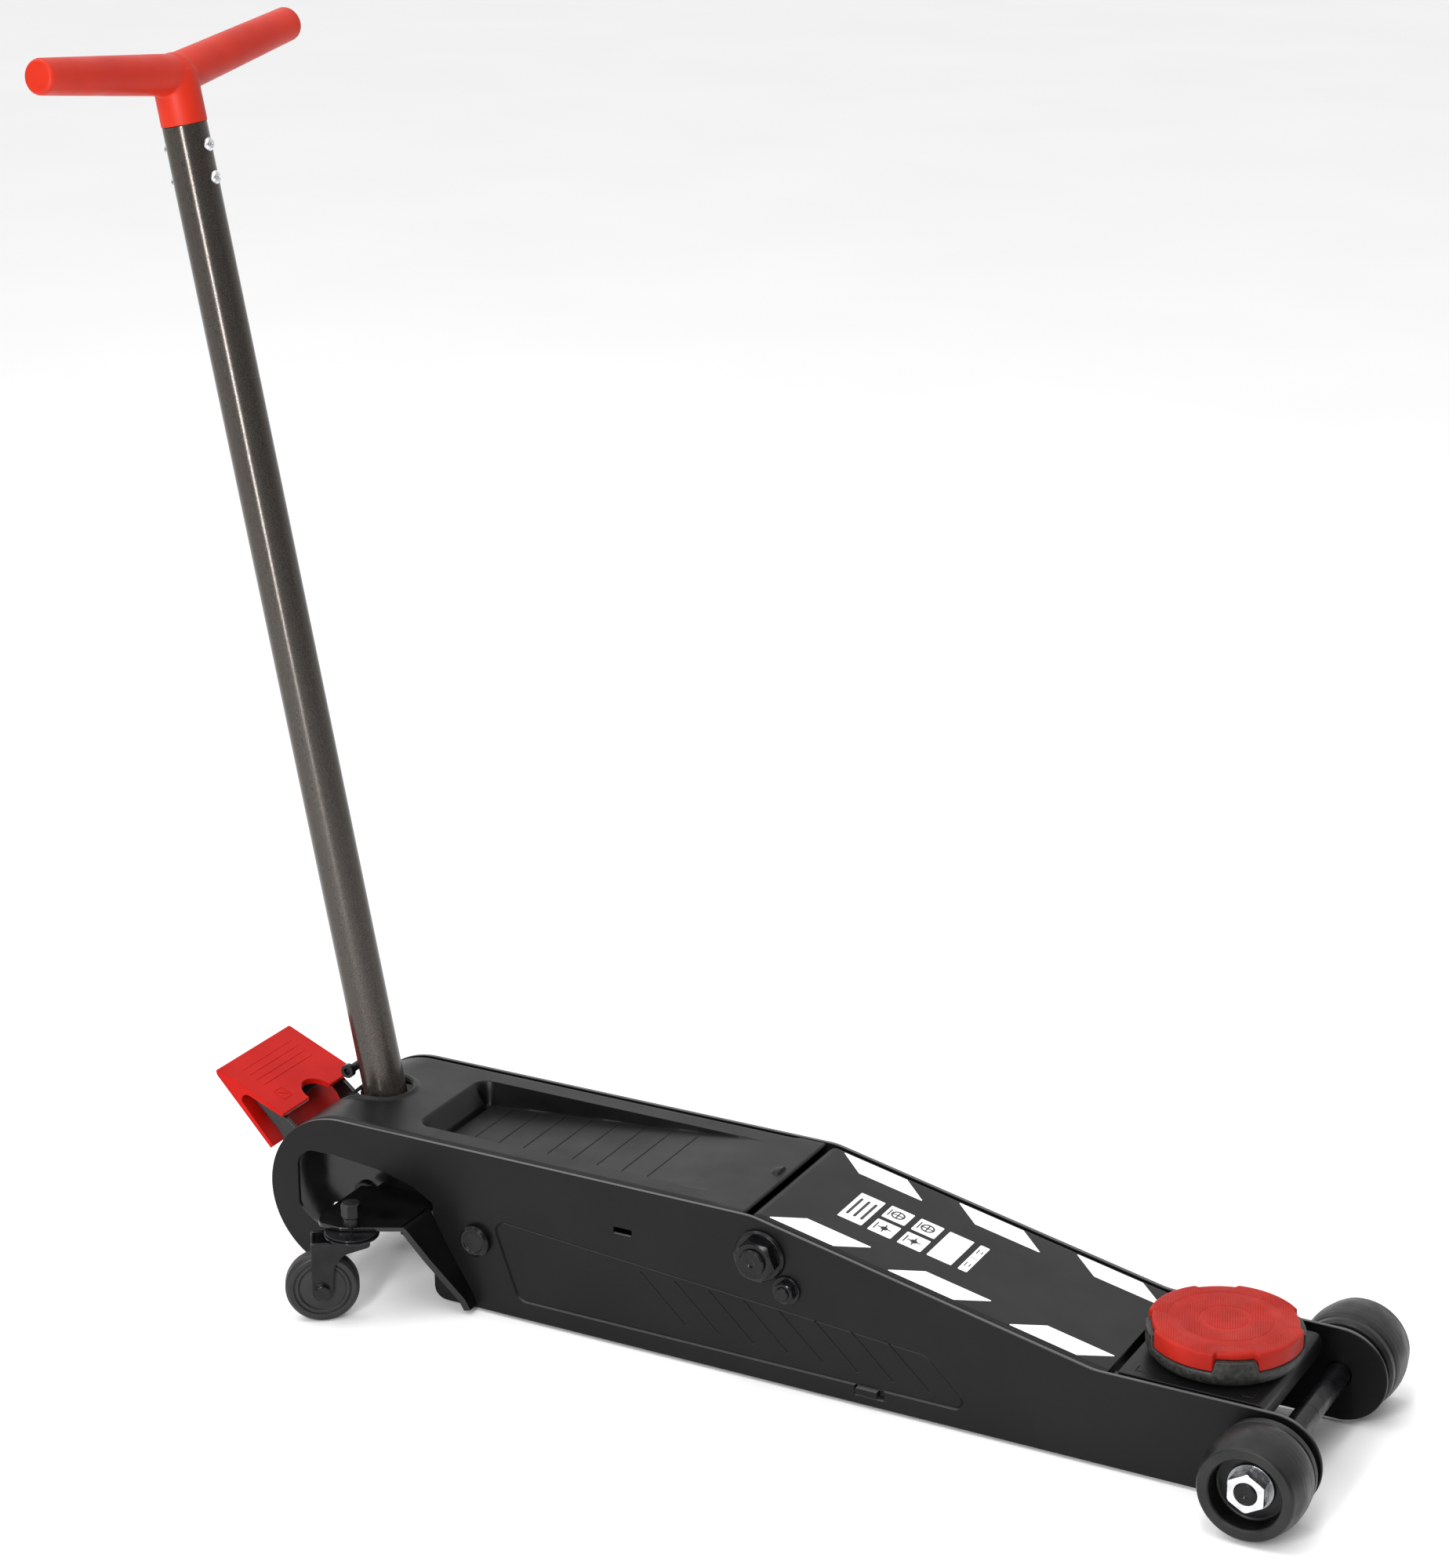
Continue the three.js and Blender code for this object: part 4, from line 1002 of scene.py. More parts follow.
def add_stickers():
    """Six slanted reflective stripes, and a group of plain labels with simple wordless marks."""
    stripes = []
    length, reach = 64.5, 27.0
    for i in range(3):
        s = 12 + 116 * i
        for side in SIDES.values():
            outer, inner = 74.5 * side, 51.5 * side
            corners = [(s, outer), (s + length, outer), (s + length + reach, inner), (s + reach, inner)]
            stripes.append(sticker(corners[::side], radius=0.8))
    finish("reflective_stripes", joined(*stripes), "lift_arm", "label", [])

    middle = -1.5
    panels = ((67.9, 24), (155.6, 24), (178.3, 9))
    labels = [sticker(patch(s, middle, size, 50), radius=1.2) for s, size in panels]
    icons = [(s, middle + y) for s in (97.3, 126.5) for y in (-14.3, 14.3)]
    labels += [sticker(patch(s, y, 23, 23), radius=1.2) for s, y in icons]
    finish("warning_labels", joined(*labels), "lift_arm", "label", [])

    lift = STICKER_SKIN - 0.02
    bars = [61 + 7 * k for k in range(3)]
    marks = [sticker(capsule(s, middle - 15, s, middle + 15, 1.3), lift, 0) for s in bars]
    for k, (s, y) in enumerate(icons):
        round_mark = sticker_ring(s, y, 6.5, 4.9, lift) if k % 2 else sticker(circle(s, y, 3.2, 40), lift, 0)
        marks.append(round_mark)
        marks.append(sticker(patch(s, y, 13, 1.3), lift, 0.3))
        marks.append(sticker(patch(s, y, 1.3, 13), lift, 0.3))
        marks.append(sticker(patch(s - 8.2, y, 1.2, 12), lift, 0.3))
    marks.append(sticker(patch(178.3, middle, 7, 0.5), lift, 0.1))
    for y in (middle - 13, middle + 13):
        marks += [sticker(patch(176.4 + 3.8 * k, y, 0.9, 8 - 3 * k), lift, 0.2) for k in range(2)]
    finish("label_marks", joined(*marks), "lift_arm", "ink", [])


def sticker_ring(s, y, outer, inner, lift):
    """A thin printed ring on the slope."""
    loops = [circle(s, y, outer, 48), circle(s, y, inner, 40)]
    made = extruded(loops, lift, lift + STICKER_SKIN, 0.05, "XY", 1)
    return moved(made, Matrix.Translation((0, 0, FRAME_TOP)) @ Matrix.Rotation(math.atan(SLOPE), 4, "Y"))


# ---- Saddle ----

RIM_TOP, LUG_TOP = 101.5, 111.5
CUP_RADIUS, CUP_INNER, CUP_FLOOR = 67, 59, 94
PAD_RADIUS, PAD_TOP = 65.5, 118.5
LUGS = 4
LUG_HALF_ANGLE = math.radians(16.5)


def smooth_step(low, high, value):
    t = np.clip((value - low) / (high - low), 0, 1)
    return t * t * (3 - 2 * t)


def lug_share(angle):
    """1 over a lug of the cup, 0 between two lugs."""
    step = 2 * math.pi / LUGS
    away = np.abs((angle - SADDLE_TURN + step / 2) % step - step / 2)
    return 1 - smooth_step(LUG_HALF_ANGLE - 0.035, LUG_HALF_ANGLE + 0.02, away)


def polar_surface(rows, angles):
    """A surface over rows of (radii, heights), each one an array over the angles."""
    rings = np.array([np.stack([r * np.cos(angles), r * np.sin(angles), h], 1) for r, h in rows])
    return moved(from_rings(rings, close_ends=False), Matrix.Translation((SADDLE.x, 0, 0)))


def add_saddle_cup():
    angles = np.linspace(0, 2 * math.pi, 480, endpoint=False)
    ones = np.ones(480)
    rim = RIM_TOP + (LUG_TOP - RIM_TOP) * lug_share(angles)
    stem = ARM_FRONT.z + 11
    foot = [(0, stem), (13, stem), (14, stem + 1), (14, 86.3), (56.5, 86.3), (59, 86.9)]
    foot += [(62.3, 89), (65.2, 92.5), (66.7, 96), (CUP_RADIUS, 99.5)]
    rows = [(ones * r, ones * z) for r, z in foot]
    rows += [(ones * CUP_RADIUS, rim - 1.2), (ones * (CUP_RADIUS - 0.35), rim - 0.35)]
    rows += [(ones * (CUP_RADIUS - 1.2), rim), (ones * (CUP_INNER + 0.8), rim)]
    rows += [(ones * CUP_INNER, rim - 0.8), (ones * (CUP_INNER - 0.8), ones * CUP_FLOOR)]
    rows += [(ones * 0, ones * CUP_FLOOR)]
    finish("saddle_cup", polar_surface(rows, angles), "saddle", "casting", sharp=45)


def pad_relief(x, y, radius):
    """Height of the moulded pattern on the pad's top: straight ribs in two bands between rings."""
    pitch, height = 2.1, 0.42
    ribs = height * smooth_step(-0.35, 0.35, np.sin(2 * math.pi * (x * 0.94 + y * 0.34) / pitch))
    share = radius / PAD_RADIUS
    bands = smooth_step(0.74, 0.76, share) * (1 - smooth_step(0.955, 0.97, share))
    bands += smooth_step(0.34, 0.36, share) * (1 - smooth_step(0.60, 0.62, share))
    bands += 1 - smooth_step(0.27, 0.29, share)
    groove = np.exp(-(((share - 0.75) / 0.008) ** 2)) + np.exp(-(((share - 0.61) / 0.008) ** 2))
    groove += np.exp(-(((share - 0.35) / 0.008) ** 2)) + np.exp(-(((share - 0.28) / 0.008) ** 2))
    return ribs * bands - 0.3 * groove


def add_saddle_pad():
    count = 720
    angles = np.linspace(0, 2 * math.pi, count, endpoint=False)
    ones = np.ones(count)
    share = lug_share(angles)
    edge = PAD_RADIUS - 3.5 * share
    bottom = RIM_TOP + 0.3 + (LUG_TOP - RIM_TOP) * share
    soft = 2.2
    top = PAD_TOP - 0.45
    plug = CUP_INNER - 1.5
    rows = [(ones * 0, ones * (CUP_FLOOR + 0.3)), (ones * plug, ones * (CUP_FLOOR + 0.3))]
    rows += [(ones * plug, bottom), (edge - 0.8, bottom), (edge, bottom + 0.8)]
    for a in np.radians([0, 18, 36, 54, 72, 90]):
        rows.append((edge - soft + soft * math.cos(a), ones * (top - soft + soft * math.sin(a))))
    for part in np.linspace(1, 0, 124)[1:]:
        radius = (edge - soft) * part
        x, y = radius * np.cos(angles), radius * np.sin(angles)
        rows.append((radius, top + pad_relief(x, y, radius)))
    finish("saddle_pad", polar_surface(rows, angles), "saddle", "rubber", smooth_all=True)


def add_saddle_platform():
    low, high = node_box("saddle_platform")
    top, sheet, half, bend = 86, 6, high.y, 7
    outer = arc(high.x - bend, top - bend, bend, 90, 0, 8)
    inner = arc(high.x - bend, top - bend, bend - sheet + 1.5, 0, 90, 6)
    line = [(low.x, top), *outer, (high.x, top - 18), (high.x - sheet, top - 18)]
    line += [(high.x - sheet, top - bend - 1), *inner[2:], (low.x, top - sheet)]
    deck = extruded([line], -half, half, 0.9, steps=3)
    ears = [
        (373, top - 2),
        (381, ARM_FRONT.z - 6),
        (ARM_FRONT.x, ARM_FRONT.z - 14),
        (LINK_FRONT.x - 12, LINK_FRONT.z - 4),
        (LINK_FRONT.x - 6, LINK_FRONT.z - 11),
        (LINK_FRONT.x + 7, LINK_FRONT.z - 11),
        (LINK_FRONT.x + 12, LINK_FRONT.z + 2),
        (444, top - 2),
    ]
    plates = [extruded([rounded(ears, 9)], *side_span(side, 64, 68.5), 0.7) for side in SIDES.values()]
    boss = rod((SADDLE.x, 0, 0), "Z", 24, ARM_FRONT.z + 10.5, top - 1, 1)
    holes = [
        rod((SADDLE.x, 0, 0), "Z", 14.3, 60, 100, 0.1),
        rod((ARM_FRONT.x, 0, ARM_FRONT.z), "Y", 8.3, -90, 90, 0.1),
        rod((LINK_FRONT.x, 0, LINK_FRONT.z), "Y", 6.3, -90, 90, 0.1),
    ]
    body = cut(fused(deck, boss, *plates), *holes)
    marks = []
    for x, turn_x in ((high.x - 13, -1), (low.x + 12, 1)):
        for side in SIDES.values():
            y = side * (half - 9)
            for x_end, y_end in ((x + turn_x * 9, y), (x, y - side * 9)):
                points = [(x, y, top), (x_end, y_end, top)]
                marks.append(wire(points, 0.45))
    finish("saddle_platform", joined(body, *marks), "saddle_platform", "deck")


# ---- Rear cover ----

TRAY_HALF, TRAY_REAR, TRAY_FLOOR_REAR, TRAY_FRONT, TRAY_DEPTH = 57, -358, -338, -66, 21.5
SLOT_X, SLOT_RADIUS = HANDLE_PIVOT.x - 15.5, 26


def soft_min(a, b, blend):
    t = np.clip(0.5 + 0.5 * (b - a) / blend, 0, 1)
    return b * (1 - t) + a * t - blend * t * (1 - t)


def tray_floor(x):
    return TRAY_DEPTH * (TRAY_FRONT - x) / (TRAY_FRONT - TRAY_FLOOR_REAR)


def cover_relief(x, y):
    """Height of the rear cover's surface over its plain deck, at arrays of points."""
    corner = 15.0
    side = TRAY_HALF - np.abs(y)
    rear = x - TRAY_REAR
    reach_side, reach_rear = np.maximum(corner - side, 0), np.maximum(corner - rear, 0)
    reach = np.hypot(reach_side, reach_rear)
    inside = np.where(reach > 0, corner - reach, np.minimum(side, rear))
    facing = np.where(reach > 0.01, reach_rear / np.maximum(reach, 0.01), 0)
    steep = 5.0 + (1.25 - 5.0) * facing**2
    depth = soft_min(inside * steep, tray_floor(x), 2.2)
    depth = -soft_min(-depth, np.zeros_like(depth), 1.2)
    height = -np.maximum(depth, 0)
    distance = np.where(x > SLOT_X, np.hypot(x - SLOT_X, y), np.abs(y))
    lip = 2.6 * np.exp(-(((distance - SLOT_RADIUS - 2.4) / 2.6) ** 2))
    height += lip * smooth_step(-470, -440, x)
    bump_x, bump_y, bump = -17.0, 7.0, 8.0
    away = np.hypot(x - bump_x, (y - bump_y) * 0.9) / bump
    dome = 3.2 * np.sqrt(np.clip(1 - away**2, 0, 1)) * (x < bump_x + 0.6)
    return height + dome


def add_rear_cover():
    low, high = node_box("rear_cover")
    half, front = high.y, -8.0
    roll, bend, skirt = 2.4, 6.0, 14.0
    pitch = 1.25
    line = [
        (front - roll + roll * math.sin(a), FRAME_TOP - roll + roll * math.cos(a), math.pi / 2 - a)
        for a in np.radians(range(90, 0, -15))
    ]
    xs = np.arange(front - roll, REAR_X, -pitch)
    line += [(x, FRAME_TOP, math.pi / 2) for x in xs]
    end = 140
    turns = np.radians(np.linspace(90, end, int(REAR_RADIUS * math.radians(end - 90) / pitch)))
    line += [(REAR_X + REAR_RADIUS * math.cos(a), REAR_Z + REAR_RADIUS * math.sin(a), a) for a in turns]
    line = np.array(line)
    corner = half - bend
    turns = np.radians(range(0, 90, 15))
    across = [(-half, -skirt)]
    across += [(-corner - bend * math.cos(a), -bend + bend * math.sin(a)) for a in turns]
    across += [(y, 0) for y in np.linspace(-corner, corner, 121)]
    turns = np.radians(range(15, 105, 15))
    across += [(corner + bend * math.sin(a), -bend + bend * math.cos(a)) for a in turns]
    across += [(half, -skirt)]
    across = np.array(across)
    x = line[:, :1] + 0 * across[None, :, 0]
    y = across[None, :, 0] + 0 * line[:, :1]
    flat = (line[:, 2:] > math.radians(85)) & (across[None, :, 1] > -1)
    shallow = np.interp(x, [front - 36, front - 26], [1.0, 0.17])
    height = across[None, :, 1] * shallow + np.where(flat, cover_relief(x, y), 0)
    surface = np.zeros((*x.shape, 3))
    surface[:, :, 0] = x + height * np.cos(line[:, 2:])
    surface[:, :, 1] = y
    surface[:, :, 2] = line[:, 1:2] + height * np.sin(line[:, 2:])
    body = from_rings(surface, close_ring=False, close_ends=False)
    body = thickened(body, 2.5, (-200, 0, 500))
    slot = [*arc(SLOT_X, 0, SLOT_RADIUS, -90, 90, 40), (-530, SLOT_RADIUS), (-530, -SLOT_RADIUS)]
    body = cut(body, extruded([slot], 90, 200, KEEN, "XY"))
    ribs = []
    for i in range(8):
        x = -318 + 28.0 * i
        z = FRAME_TOP - tray_floor(x)
        reach = TRAY_HALF - 9
        ribs.append(wire([(x, -reach, z), (x, reach, z)], 0.55))
    finish("rear_cover", joined(body, *ribs), "chassis", "plastic", sharp=50)


# ---- Handle ----

TUBE_RADIUS, TUBE_BORE, TUBE_BOTTOM, TUBE_TOP = 20, 17.5, 34, 981
GRIP_AXIS, GRIP_REACH, GRIP_RISE = 1024, 184.7, 23
GRIP_BOLTS = (961, 932)


def add_handle_socket():
    start, middle, end = 100, 114, 90 + math.degrees(0.98)
    rim = [*arc(0, 0, 96, start, middle, 14), *arc(0, 0, 102, middle + 1.5, end, 30)]
    drum = extruded([rounded([(0, 0, 0), *rim], 0)], -22, 22, 2.5, steps=4)
    lug = extruded([rounded([(-37, 60), (-18, 60), (-18, 112), (-30, 112)], 5)], -9, 9, 1.5)
    sleeve = rod((0, 0, 0), "Z", 24, 14, 72, 1.5, 96)
    boss = rod((0, 0, 0), "Y", 24, -35, 35, 1.2, 96)
    cam_turn = Matrix.Rotation(math.radians(15) + LEAN, 4, "Y")
    web = moved(extruded([rectangle(-5, 5, -42, 0, 1)], -13, 13, 0.8), cam_turn)
    nose = moved(rod((0, 0, -42), "Y", 11, -13, 13, 1), cam_turn)
    bore = rod((0, 0, 0), "Z", TUBE_RADIUS + 0.3, TUBE_BOTTOM - 3, 200, 0.1, 96)
    pin = rod((0, 0, 0), "Y", 8.3, -60, 60, 0.1)
    split = extruded([rectangle(-60, 0, 80, 130)], -1.5, 1.5, 0.1)
    bolt = rod((-28, 0, 102), "Y", 4.3, -30, 30, 0.1)
    body = cut(fused(drum, lug, sleeve, boss, web, nose), bore, pin, split, bolt)
    finish("handle_socket", body, "handle_socket", "gloss", place=HANDLE)
    line = [(0, 13), (4, 13), (4, -9.4), (6.5, -9.4), (6.5, -15.3), (3.2, -15.3), (2.9, -12), (0, -12)]
    bolt = turned(line, (-28, 0, 102), "Y", 0.5)
    finish("socket_clamp_bolt", bolt, "handle_socket", "black_steel", place=HANDLE)


def add_handle_tube():
    line = [
        (TUBE_BORE, TUBE_BOTTOM),
        (TUBE_RADIUS, TUBE_BOTTOM),
        (TUBE_RADIUS, TUBE_TOP),
        (TUBE_BORE, TUBE_TOP),
    ]
    tube = turned(line, (0, 0, 0), "Z", 0.5, 160)
    finish("handle_tube", tube, "handle", "tube", place=HANDLE)


def add_grip():
    """A collar and two tapering arms melted into one moulding, on a plug inside the tube."""
    collar = rod((0, 0, 0), "Z", TUBE_RADIUS + 0.5, TUBE_TOP + 0.3, GRIP_AXIS + 4, 1, 96)
    crown = turned(arc(0, GRIP_AXIS, 19.8, -90, 90, 32), (0, 0, 0), "Z", 0, 96)
    length = math.hypot(GRIP_REACH, GRIP_RISE)
    arms = []
    for side in SIDES.values():
        line = [(0, 0, 0), (18.5, 0), (15.6, length - 3), (13.4, length), (0, length, 0)]
        arm = turned(line, (0, 0, 0), "Z", 2, 96)
        tilt = -side * (math.pi / 2 - math.atan2(GRIP_RISE, GRIP_REACH))
        turn = Matrix.Translation((0, 0, GRIP_AXIS)) @ Matrix.Rotation(tilt, 4, "X")
        arms.append(moved(arm, turn))
    body = joined(collar, crown, *arms)
    melt = body.modifiers.new("melt", "REMESH")
    melt.mode = "VOXEL"
    melt.voxel_size = 0.9
    relax = body.modifiers.new("relax", "SMOOTH")
    relax.factor = 0.5
    relax.iterations = 16
    body = baked(body)
    plug = rod((0, 0, 0), "Z", TUBE_BORE - 0.3, 905, TUBE_TOP + 3, 1)
    low, high = TUBE_TOP + GAP, TUBE_TOP + 6.5
    seam = turned([(15, low), (20.5, low), (20.5, high), (15, high)], (0, 0, 0), "Z", 0.5, 96)
    finish("grip", joined(body, plug, seam), "handle", "grip", place=HANDLE, sharp=45)


def add_grip_bolts():
    places = [(direction, z) for direction in (1, -1) for z in GRIP_BOLTS]
    for i, (direction, z) in enumerate(places):
        line = [
            (0, 7, 0),
            (3, 7, 0.4),
            (3, 20.3, 0.1),
            (6, 20.3, 0.4),
            (6, 22.2, 1.2),
            (4.4, 24.3, 1.2),
            (2.6, 24.5, 0.2),
            (2.3, 22.6, 0.2),
            (0, 22.4, 0),
        ]
        bolt = turned([(r, direction * h, *rest) for r, h, *rest in line], (0, 0, z), "X", 0.3)
        finish("grip_bolt_" + str(i + 1), bolt, "handle", "zinc", place=HANDLE)


def add_pivot_pin_and_springs():
    wall = 57 + 3.3
    pin = rod((HANDLE_PIVOT.x, 0, HANDLE_PIVOT.z), "Y", 8, -wall - 2, wall + 3, 1)
    head = rod((HANDLE_PIVOT.x, 0, HANDLE_PIVOT.z), "Y", 12, -wall - 4, -wall, 1)
    finish("handle_pivot_pin", fused(pin, head), "chassis", "black_steel")
    for name, near, far in (("pedal_spring", -44.2, -37.2), ("handle_spring", 37.2, 44.2)):
        line = []
        for t in np.linspace(0, 1, 91):
            angle = t * 2.25 * 2 * math.pi
            x = HANDLE_PIVOT.x + 10.5 * math.cos(angle)
            z = HANDLE_PIVOT.z + 10.5 * math.sin(angle)
            line.append((x, near + (far - near) * t, z))
        finish(name, wire(line, 1.3), "chassis", "steel", smooth_all=True)


# ---- Foot pedal ----

TREAD_REAR = Vector((-575, 169))
TREAD_FRONT = Vector((-501, 138.5))


def add_foot_pedal():
    outline = [
        (-577, 167, 1.5),
        (-575.6, 162.6, 2),
        (-518, 100, 0.9),
        (-515, 103, 0.9),
        (-563, 157.5, 6),
        (-503, 134.5, 0.6),
        (-501, 138.5, 1.4),
        (-574.5, 169, 4),
    ]
    body = extruded([rounded(outline, 1, 6)], -60, 60, 1.2, steps=3)
    relief = rod((-501, 0, 0), "Z", 17.5, 122, 180, 0.1, 96)
    body = cut(body, relief)
    fall = (TREAD_FRONT - TREAD_REAR).normalized()
    details = []
    for i in range(4):
        spot = TREAD_REAR + fall * (16 + 8.5 * i)
        reach = 40
        details.append(wire([(spot.x, -reach, spot.y), (spot.x, reach, spot.y)], 0.6))
    centre = TREAD_REAR + fall * 60
    spin = math.atan2(-fall.y, fall.x)
    turn = Matrix.Translation((centre.x, -34, centre.y)) @ Matrix.Rotation(spin, 4, "Y")
    frame_loops = [rectangle(-7, 7, -7, 7, 1), rectangle(-6, 6, -6, 6, 0.6)]
    details.append(moved(extruded(frame_loops, -0.4, 0.45, 0.1, "XY"), turn))
    slash = moved(extruded([capsule(-3.4, -3.4, 3.4, 3.4, 0.5)], -0.4, 0.45, 0.1, "XY"), turn)
    details.append(slash)
    finish("foot_pedal", joined(body, *details), "foot_pedal", "red_plastic")


def add_pedal_arm():
    x, z = HANDLE_PIVOT.x, HANDLE_PIVOT.z
    hub = arc(x, z, 13, 90, -90, 24)
    outline = [*hub, (-480, 84, 12), (-508, 106, 4), (-514, 116, 2)]
    outline += [(-549, 150, 2), (-511, 134.5, 3), (-478, 108, 14)]
    plates = [extruded([rounded(outline, 0)], *side_span(side, 46.5, 51), 0.8) for side in SIDES.values()]
    rib = extruded([rectangle(-530, -524, 128, 137, 1)], -50, 50, 0.8)
    body = cut(fused(rib, *plates), bore(HANDLE_PIVOT, PIN_BORE))
    finish("pedal_arm", body, "foot_pedal", "gloss")


# ---- Casters ----


def add_caster(name, side):
    swivel = Matrix.Translation((-372 * MM, side * 146 * MM, 0))
    place = ROOT @ swivel @ Matrix.Rotation(CASTER_TURN, 4, "Z")
    radius, trail, half = 33.5, 28, 9.5
    axle = (-trail, 0, radius)
    top = SHELF_Z - SHELF_SHEET - GAP
    race = [
        (STEM_BORE, top - 9),
        (13.5, top - 9, 2),
        (21.5, top - 5.6, 1),
        (24.4, top - 4.8),
        (25, top - 4),
        (25, top - 2.6),
        (22.4, top - 2.3, 0.4),
        (22.4, top - 1.5, 0.4),
        (24.4, top - 1.2),
        (24.4, top),
        (STEM_BORE, top),
    ]
    body = turned(race, (0, 0, 0), "Z", 0.6, 96)
    leg_line = [
        (-trail - 9, radius - 4, 6),
        (-trail - 5, radius - 10, 5),
        (-trail + 5, radius - 10, 5),
        (-trail + 9.5, radius - 4, 6),
        (-trail + 11, 56, 14),
        (-trail + 20, 68, 14),
        (16, top - 12, 4),
        (16, top - 6, 1),
        (-trail - 9, top - 6, 3),
    ]
    boss = circle(-trail, radius, 7.6, 40)
    rim = rectangle(-trail - 9, -trail - 6.4, radius + 2, top - 7, 1)
    legs = []
    for flank in (1, -1):
        inner, outer = half + 1.5, half + 4.5
        legs.append(extruded([rounded(leg_line, 3)], *side_span(flank, inner, outer), 0.8))
        legs.append(extruded([boss], *side_span(flank, outer - 2, outer + 0.7), 0.4))
        legs.append(extruded([rim], *side_span(flank, half - 2.5, outer - 1.5), 0.6))
    bridge = rounded([(-19, top - 12), (16, top - 12), (16, top - 6), (-19, top - 6)], 2)
    bridge = extruded([bridge], -half - 4, half + 4, 0.8)
    hole = rod(axle, "Y", 4.3, -30, 30, KEEN)
    stem_hole = rod((0, 0, 0), "Z", STEM_BORE, 40, 100, KEEN)
    body = cut(fused(body, bridge, *legs), hole, stem_hole)
    finish("caster_fork_" + name, body, "caster_" + name, "black_steel", place=place)

    wheel_line = [
        (4.6, -half, 0.3),
        (8, -half, 0.8),
        (9, -half + 1.6, 0.6),
        (20.5, -half + 2.6, 0.8),
        (22, -half + 1.0, 0.8),
        (24.5, -half + 1.0, 0.8),
        (25.3, -half + 2.4, 0.5),
        (26.2, -half + 0.7, 0.8),
        (30.5, -half + 0.5, 2),
        (radius, -half + 4, 3),
    ]
    wheel = turned([*wheel_line, *mirrored(wheel_line)], axle, "Y", 1, 128)
    finish("caster_wheel_" + name, wheel, "caster_wheel_" + name, "tyre", place=place, sharp=40)

    outer = half + 4.8
    shank = rod(axle, "Y", 4, -outer - 1, outer + 5, 0.8)
    head = hexagon(axle, "Y", 7.5, -outer - 4.4, -outer, 0)
    nut = hexagon(axle, "Y", 7.5, outer + 0.3, outer + 4.3, 0)
    body = joined(shank, head, nut)
    finish("caster_axle_bolt_" + name, body, "caster_" + name, "black_steel", place=place, sharp=22)


def add_caster_stem(name, side):
    spot = joint_place("caster_swivel_" + name)
    centre = (spot.x, spot.y, 0)
    shank = rod(centre, "Z", 5, 70, SHELF_Z + 20, 0.8)
    spacer = rod(centre, "Z", 7.5, SHELF_Z + 0.3, SHELF_Z + 9, 0.8)
    head = hexagon(centre, "Z", 9.2, SHELF_Z + 9.2, SHELF_Z + 22.8, 0, 0.9, 0.3)
    foot = rod(centre, "Z", 7, 68.5, 71, 0.5)
    parts = joined(shank, spacer, head, foot)
    finish("caster_stem_bolt_" + name, parts, "chassis", "black_steel", sharp=22)


for side_name, side_sign in SIDES.items():
    add_side_plate(side_name, side_sign)
    add_caster_bracket(side_name, side_sign)
    add_front_wheel(side_name, side_sign)
    add_axle_fasteners(side_name, side_sign)
    add_pivot_fasteners(side_name, side_sign)
    add_lift_arm(side_name, side_sign)
    add_parallel_link(side_name, side_sign)
    add_caster(side_name, side_sign)
    add_caster_stem(side_name, side_sign)
add_cross_brace()
add_front_axle()
add_hydraulics()
add_arm_pivot_shaft()
add_arm_parts()
add_arm_cover()
add_stickers()
add_saddle_platform()
add_saddle_cup()
add_saddle_pad()
add_rear_cover()
add_handle_socket()
add_handle_tube()
add_grip()
add_grip_bolts()
add_pivot_pin_and_springs()
add_foot_pedal()
add_pedal_arm()


# ---- Studio ----


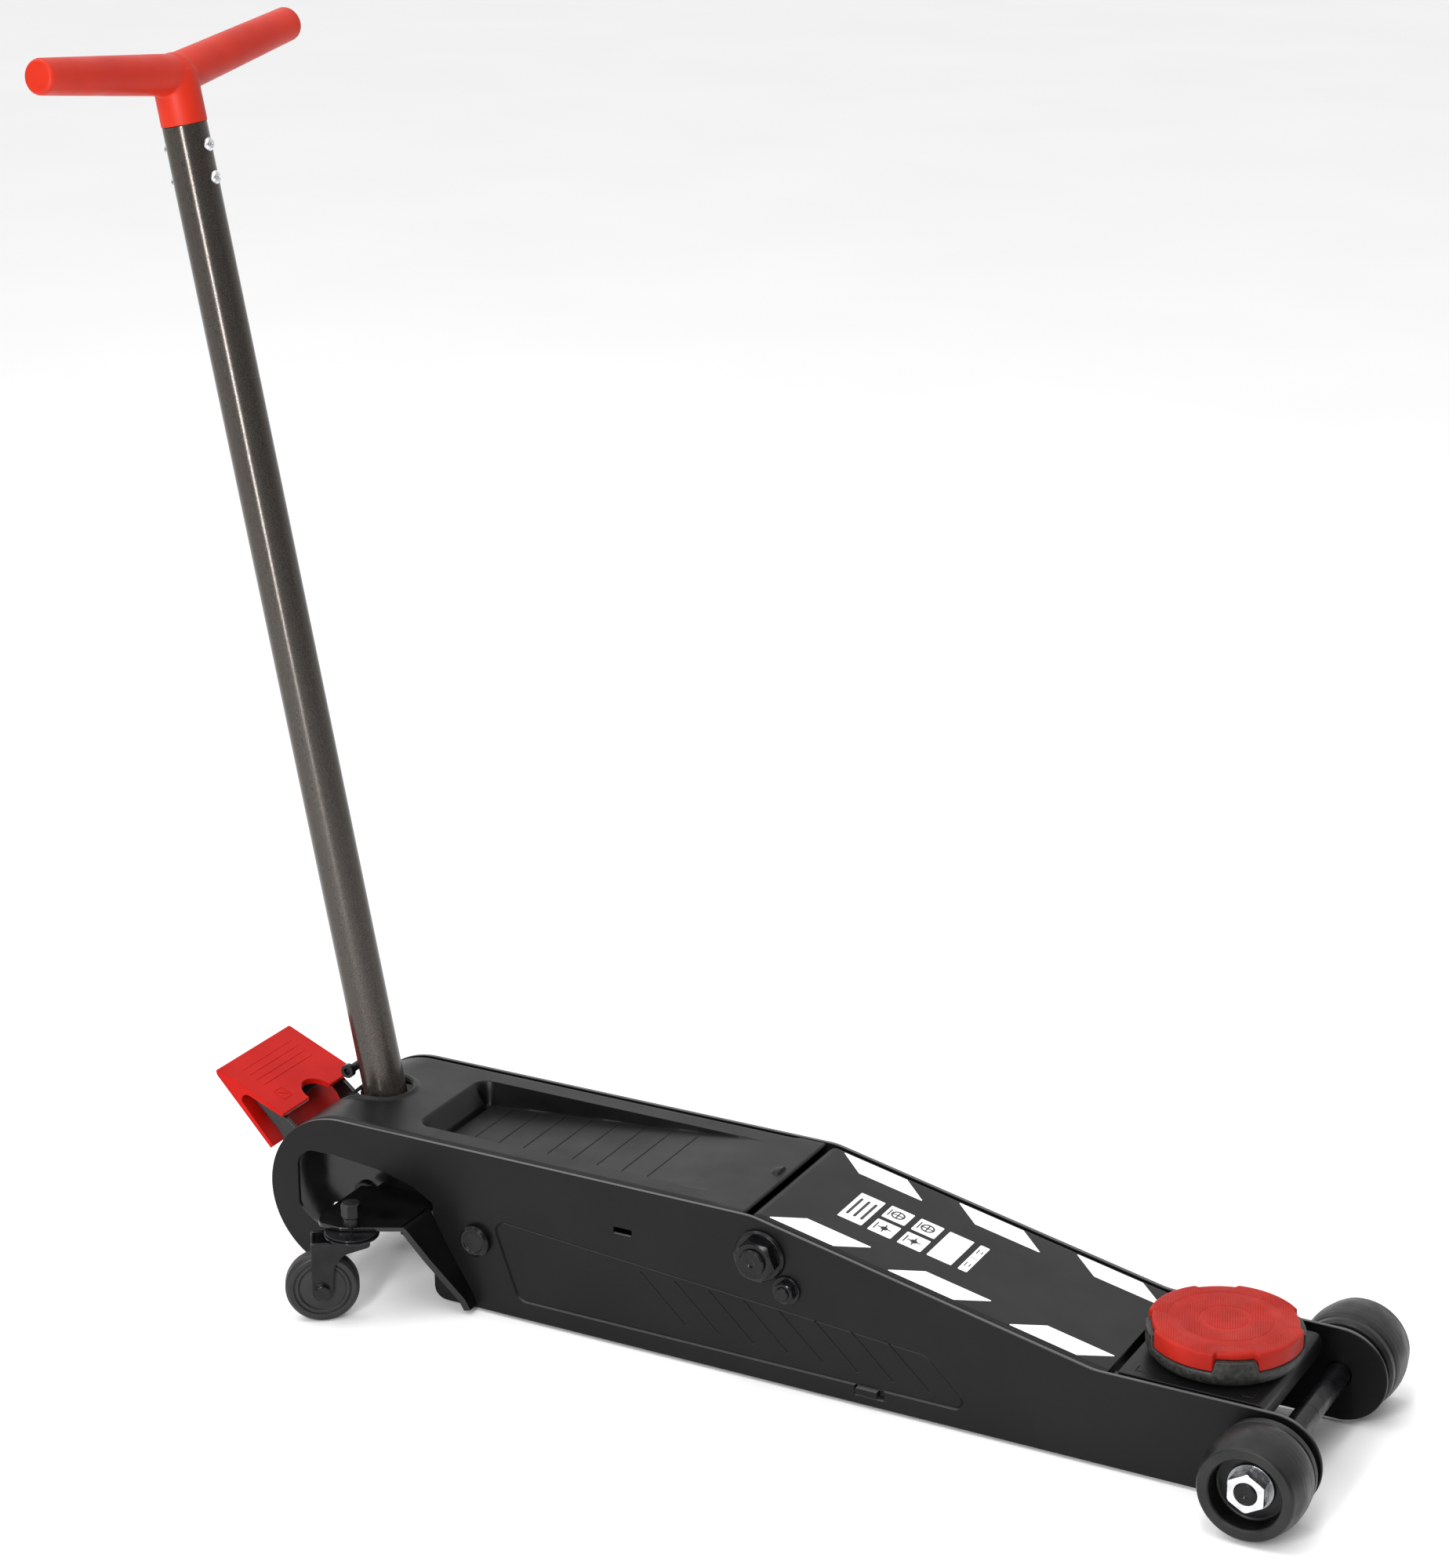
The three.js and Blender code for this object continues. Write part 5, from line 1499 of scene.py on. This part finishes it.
def add_floor():
    mesh = bpy.data.meshes.new("floor")
    reach = 60.0
    corners = [(-reach, -reach, 0), (reach, -reach, 0), (reach, reach, 0), (-reach, reach, 0)]
    mesh.from_pydata(corners, [], [(0, 1, 2, 3)])
    floor = new_object(mesh)
    look = Look("floor", 0.75, specular=0.1)
    look.colour((249, 249, 249), (251, 251, 251), 2.0).haze(3, 0.03)
    mesh.materials.append(look.material)
    floor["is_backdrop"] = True


def add_world():
    """A studio that is bright above and behind the jack, and darker towards the photographer."""
    world = bpy.data.worlds.new("studio")
    bpy.context.scene.world = world
    world.use_nodes = True
    tree = world.node_tree
    background = tree.nodes["Background"]
    coordinates = tree.nodes.new("ShaderNodeTexCoord")
    facing = tree.nodes.new("ShaderNodeVectorMath")
    facing.operation = "DOT_PRODUCT"
    facing.inputs[1].default_value = (-0.25, 0.5, 0.83)
    ramp = tree.nodes.new("ShaderNodeValToRGB")
    first, last = ramp.color_ramp.elements
    first.position, first.color = 0.0, (0.08, 0.08, 0.08, 1)
    last.position, last.color = 0.85, (1.2, 1.2, 1.2, 1)
    middle = ramp.color_ramp.elements.new(0.35)
    middle.color = (0.85, 0.85, 0.85, 1)
    tree.links.new(coordinates.outputs["Generated"], facing.inputs[0])
    tree.links.new(facing.outputs["Value"], ramp.inputs[0])
    tree.links.new(ramp.outputs[0], background.inputs["Color"])
    background.inputs["Strength"].default_value = 1.0


def add_light(name, place, target, size, power, shape="RECTANGLE"):
    light = bpy.data.lights.new(name, "AREA")
    light.shape = shape
    light.size, light.size_y = size
    light.energy = power
    made = bpy.data.objects.new(name, light)
    bpy.context.scene.collection.objects.link(made)
    made.location = place
    made.rotation_euler = (Vector(target) - Vector(place)).to_track_quat("-Z", "Y").to_euler()
    made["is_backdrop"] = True


def add_camera():
    """The photographer's view: from the front right, a little above the jack."""
    camera = bpy.data.cameras.new("camera")
    camera.lens = 85.4
    camera.sensor_width = 36
    camera.clip_end = 200
    made = bpy.data.objects.new("camera", camera)
    bpy.context.scene.collection.objects.link(made)
    right = Vector((0.8848, 0.4659, 0)).normalized()
    forward = Vector((-0.4399, 0.8353, -0.3300)).normalized()
    up = right.cross(forward)
    place = Matrix((right, up, -forward)).transposed().to_4x4()
    place.translation = (1.3887, -2.6674, 1.5691)
    made.matrix_world = place
    bpy.context.scene.camera = made


add_floor()
add_world()
add_light("key", (0.4, -0.8, 3.2), (0, 0, 0.2), (0.5, 3.0), 26)
add_light("edge", (-1.7, -0.5, 3.0), (-0.1, 0, 0.1), (2.6, 1.6), 34)
add_light("strip", (0.3, -2.9, 1.3), (-0.42, 0, 0.7), (0.35, 2.3), 95)
add_camera()
bpy.context.scene.view_settings.view_transform = "Standard"

bounds_at_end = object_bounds()
sizes = {
    "start": [list(corner) for corner in bounds_at_start],
    "end": [list(corner) for corner in bounds_at_end],
}
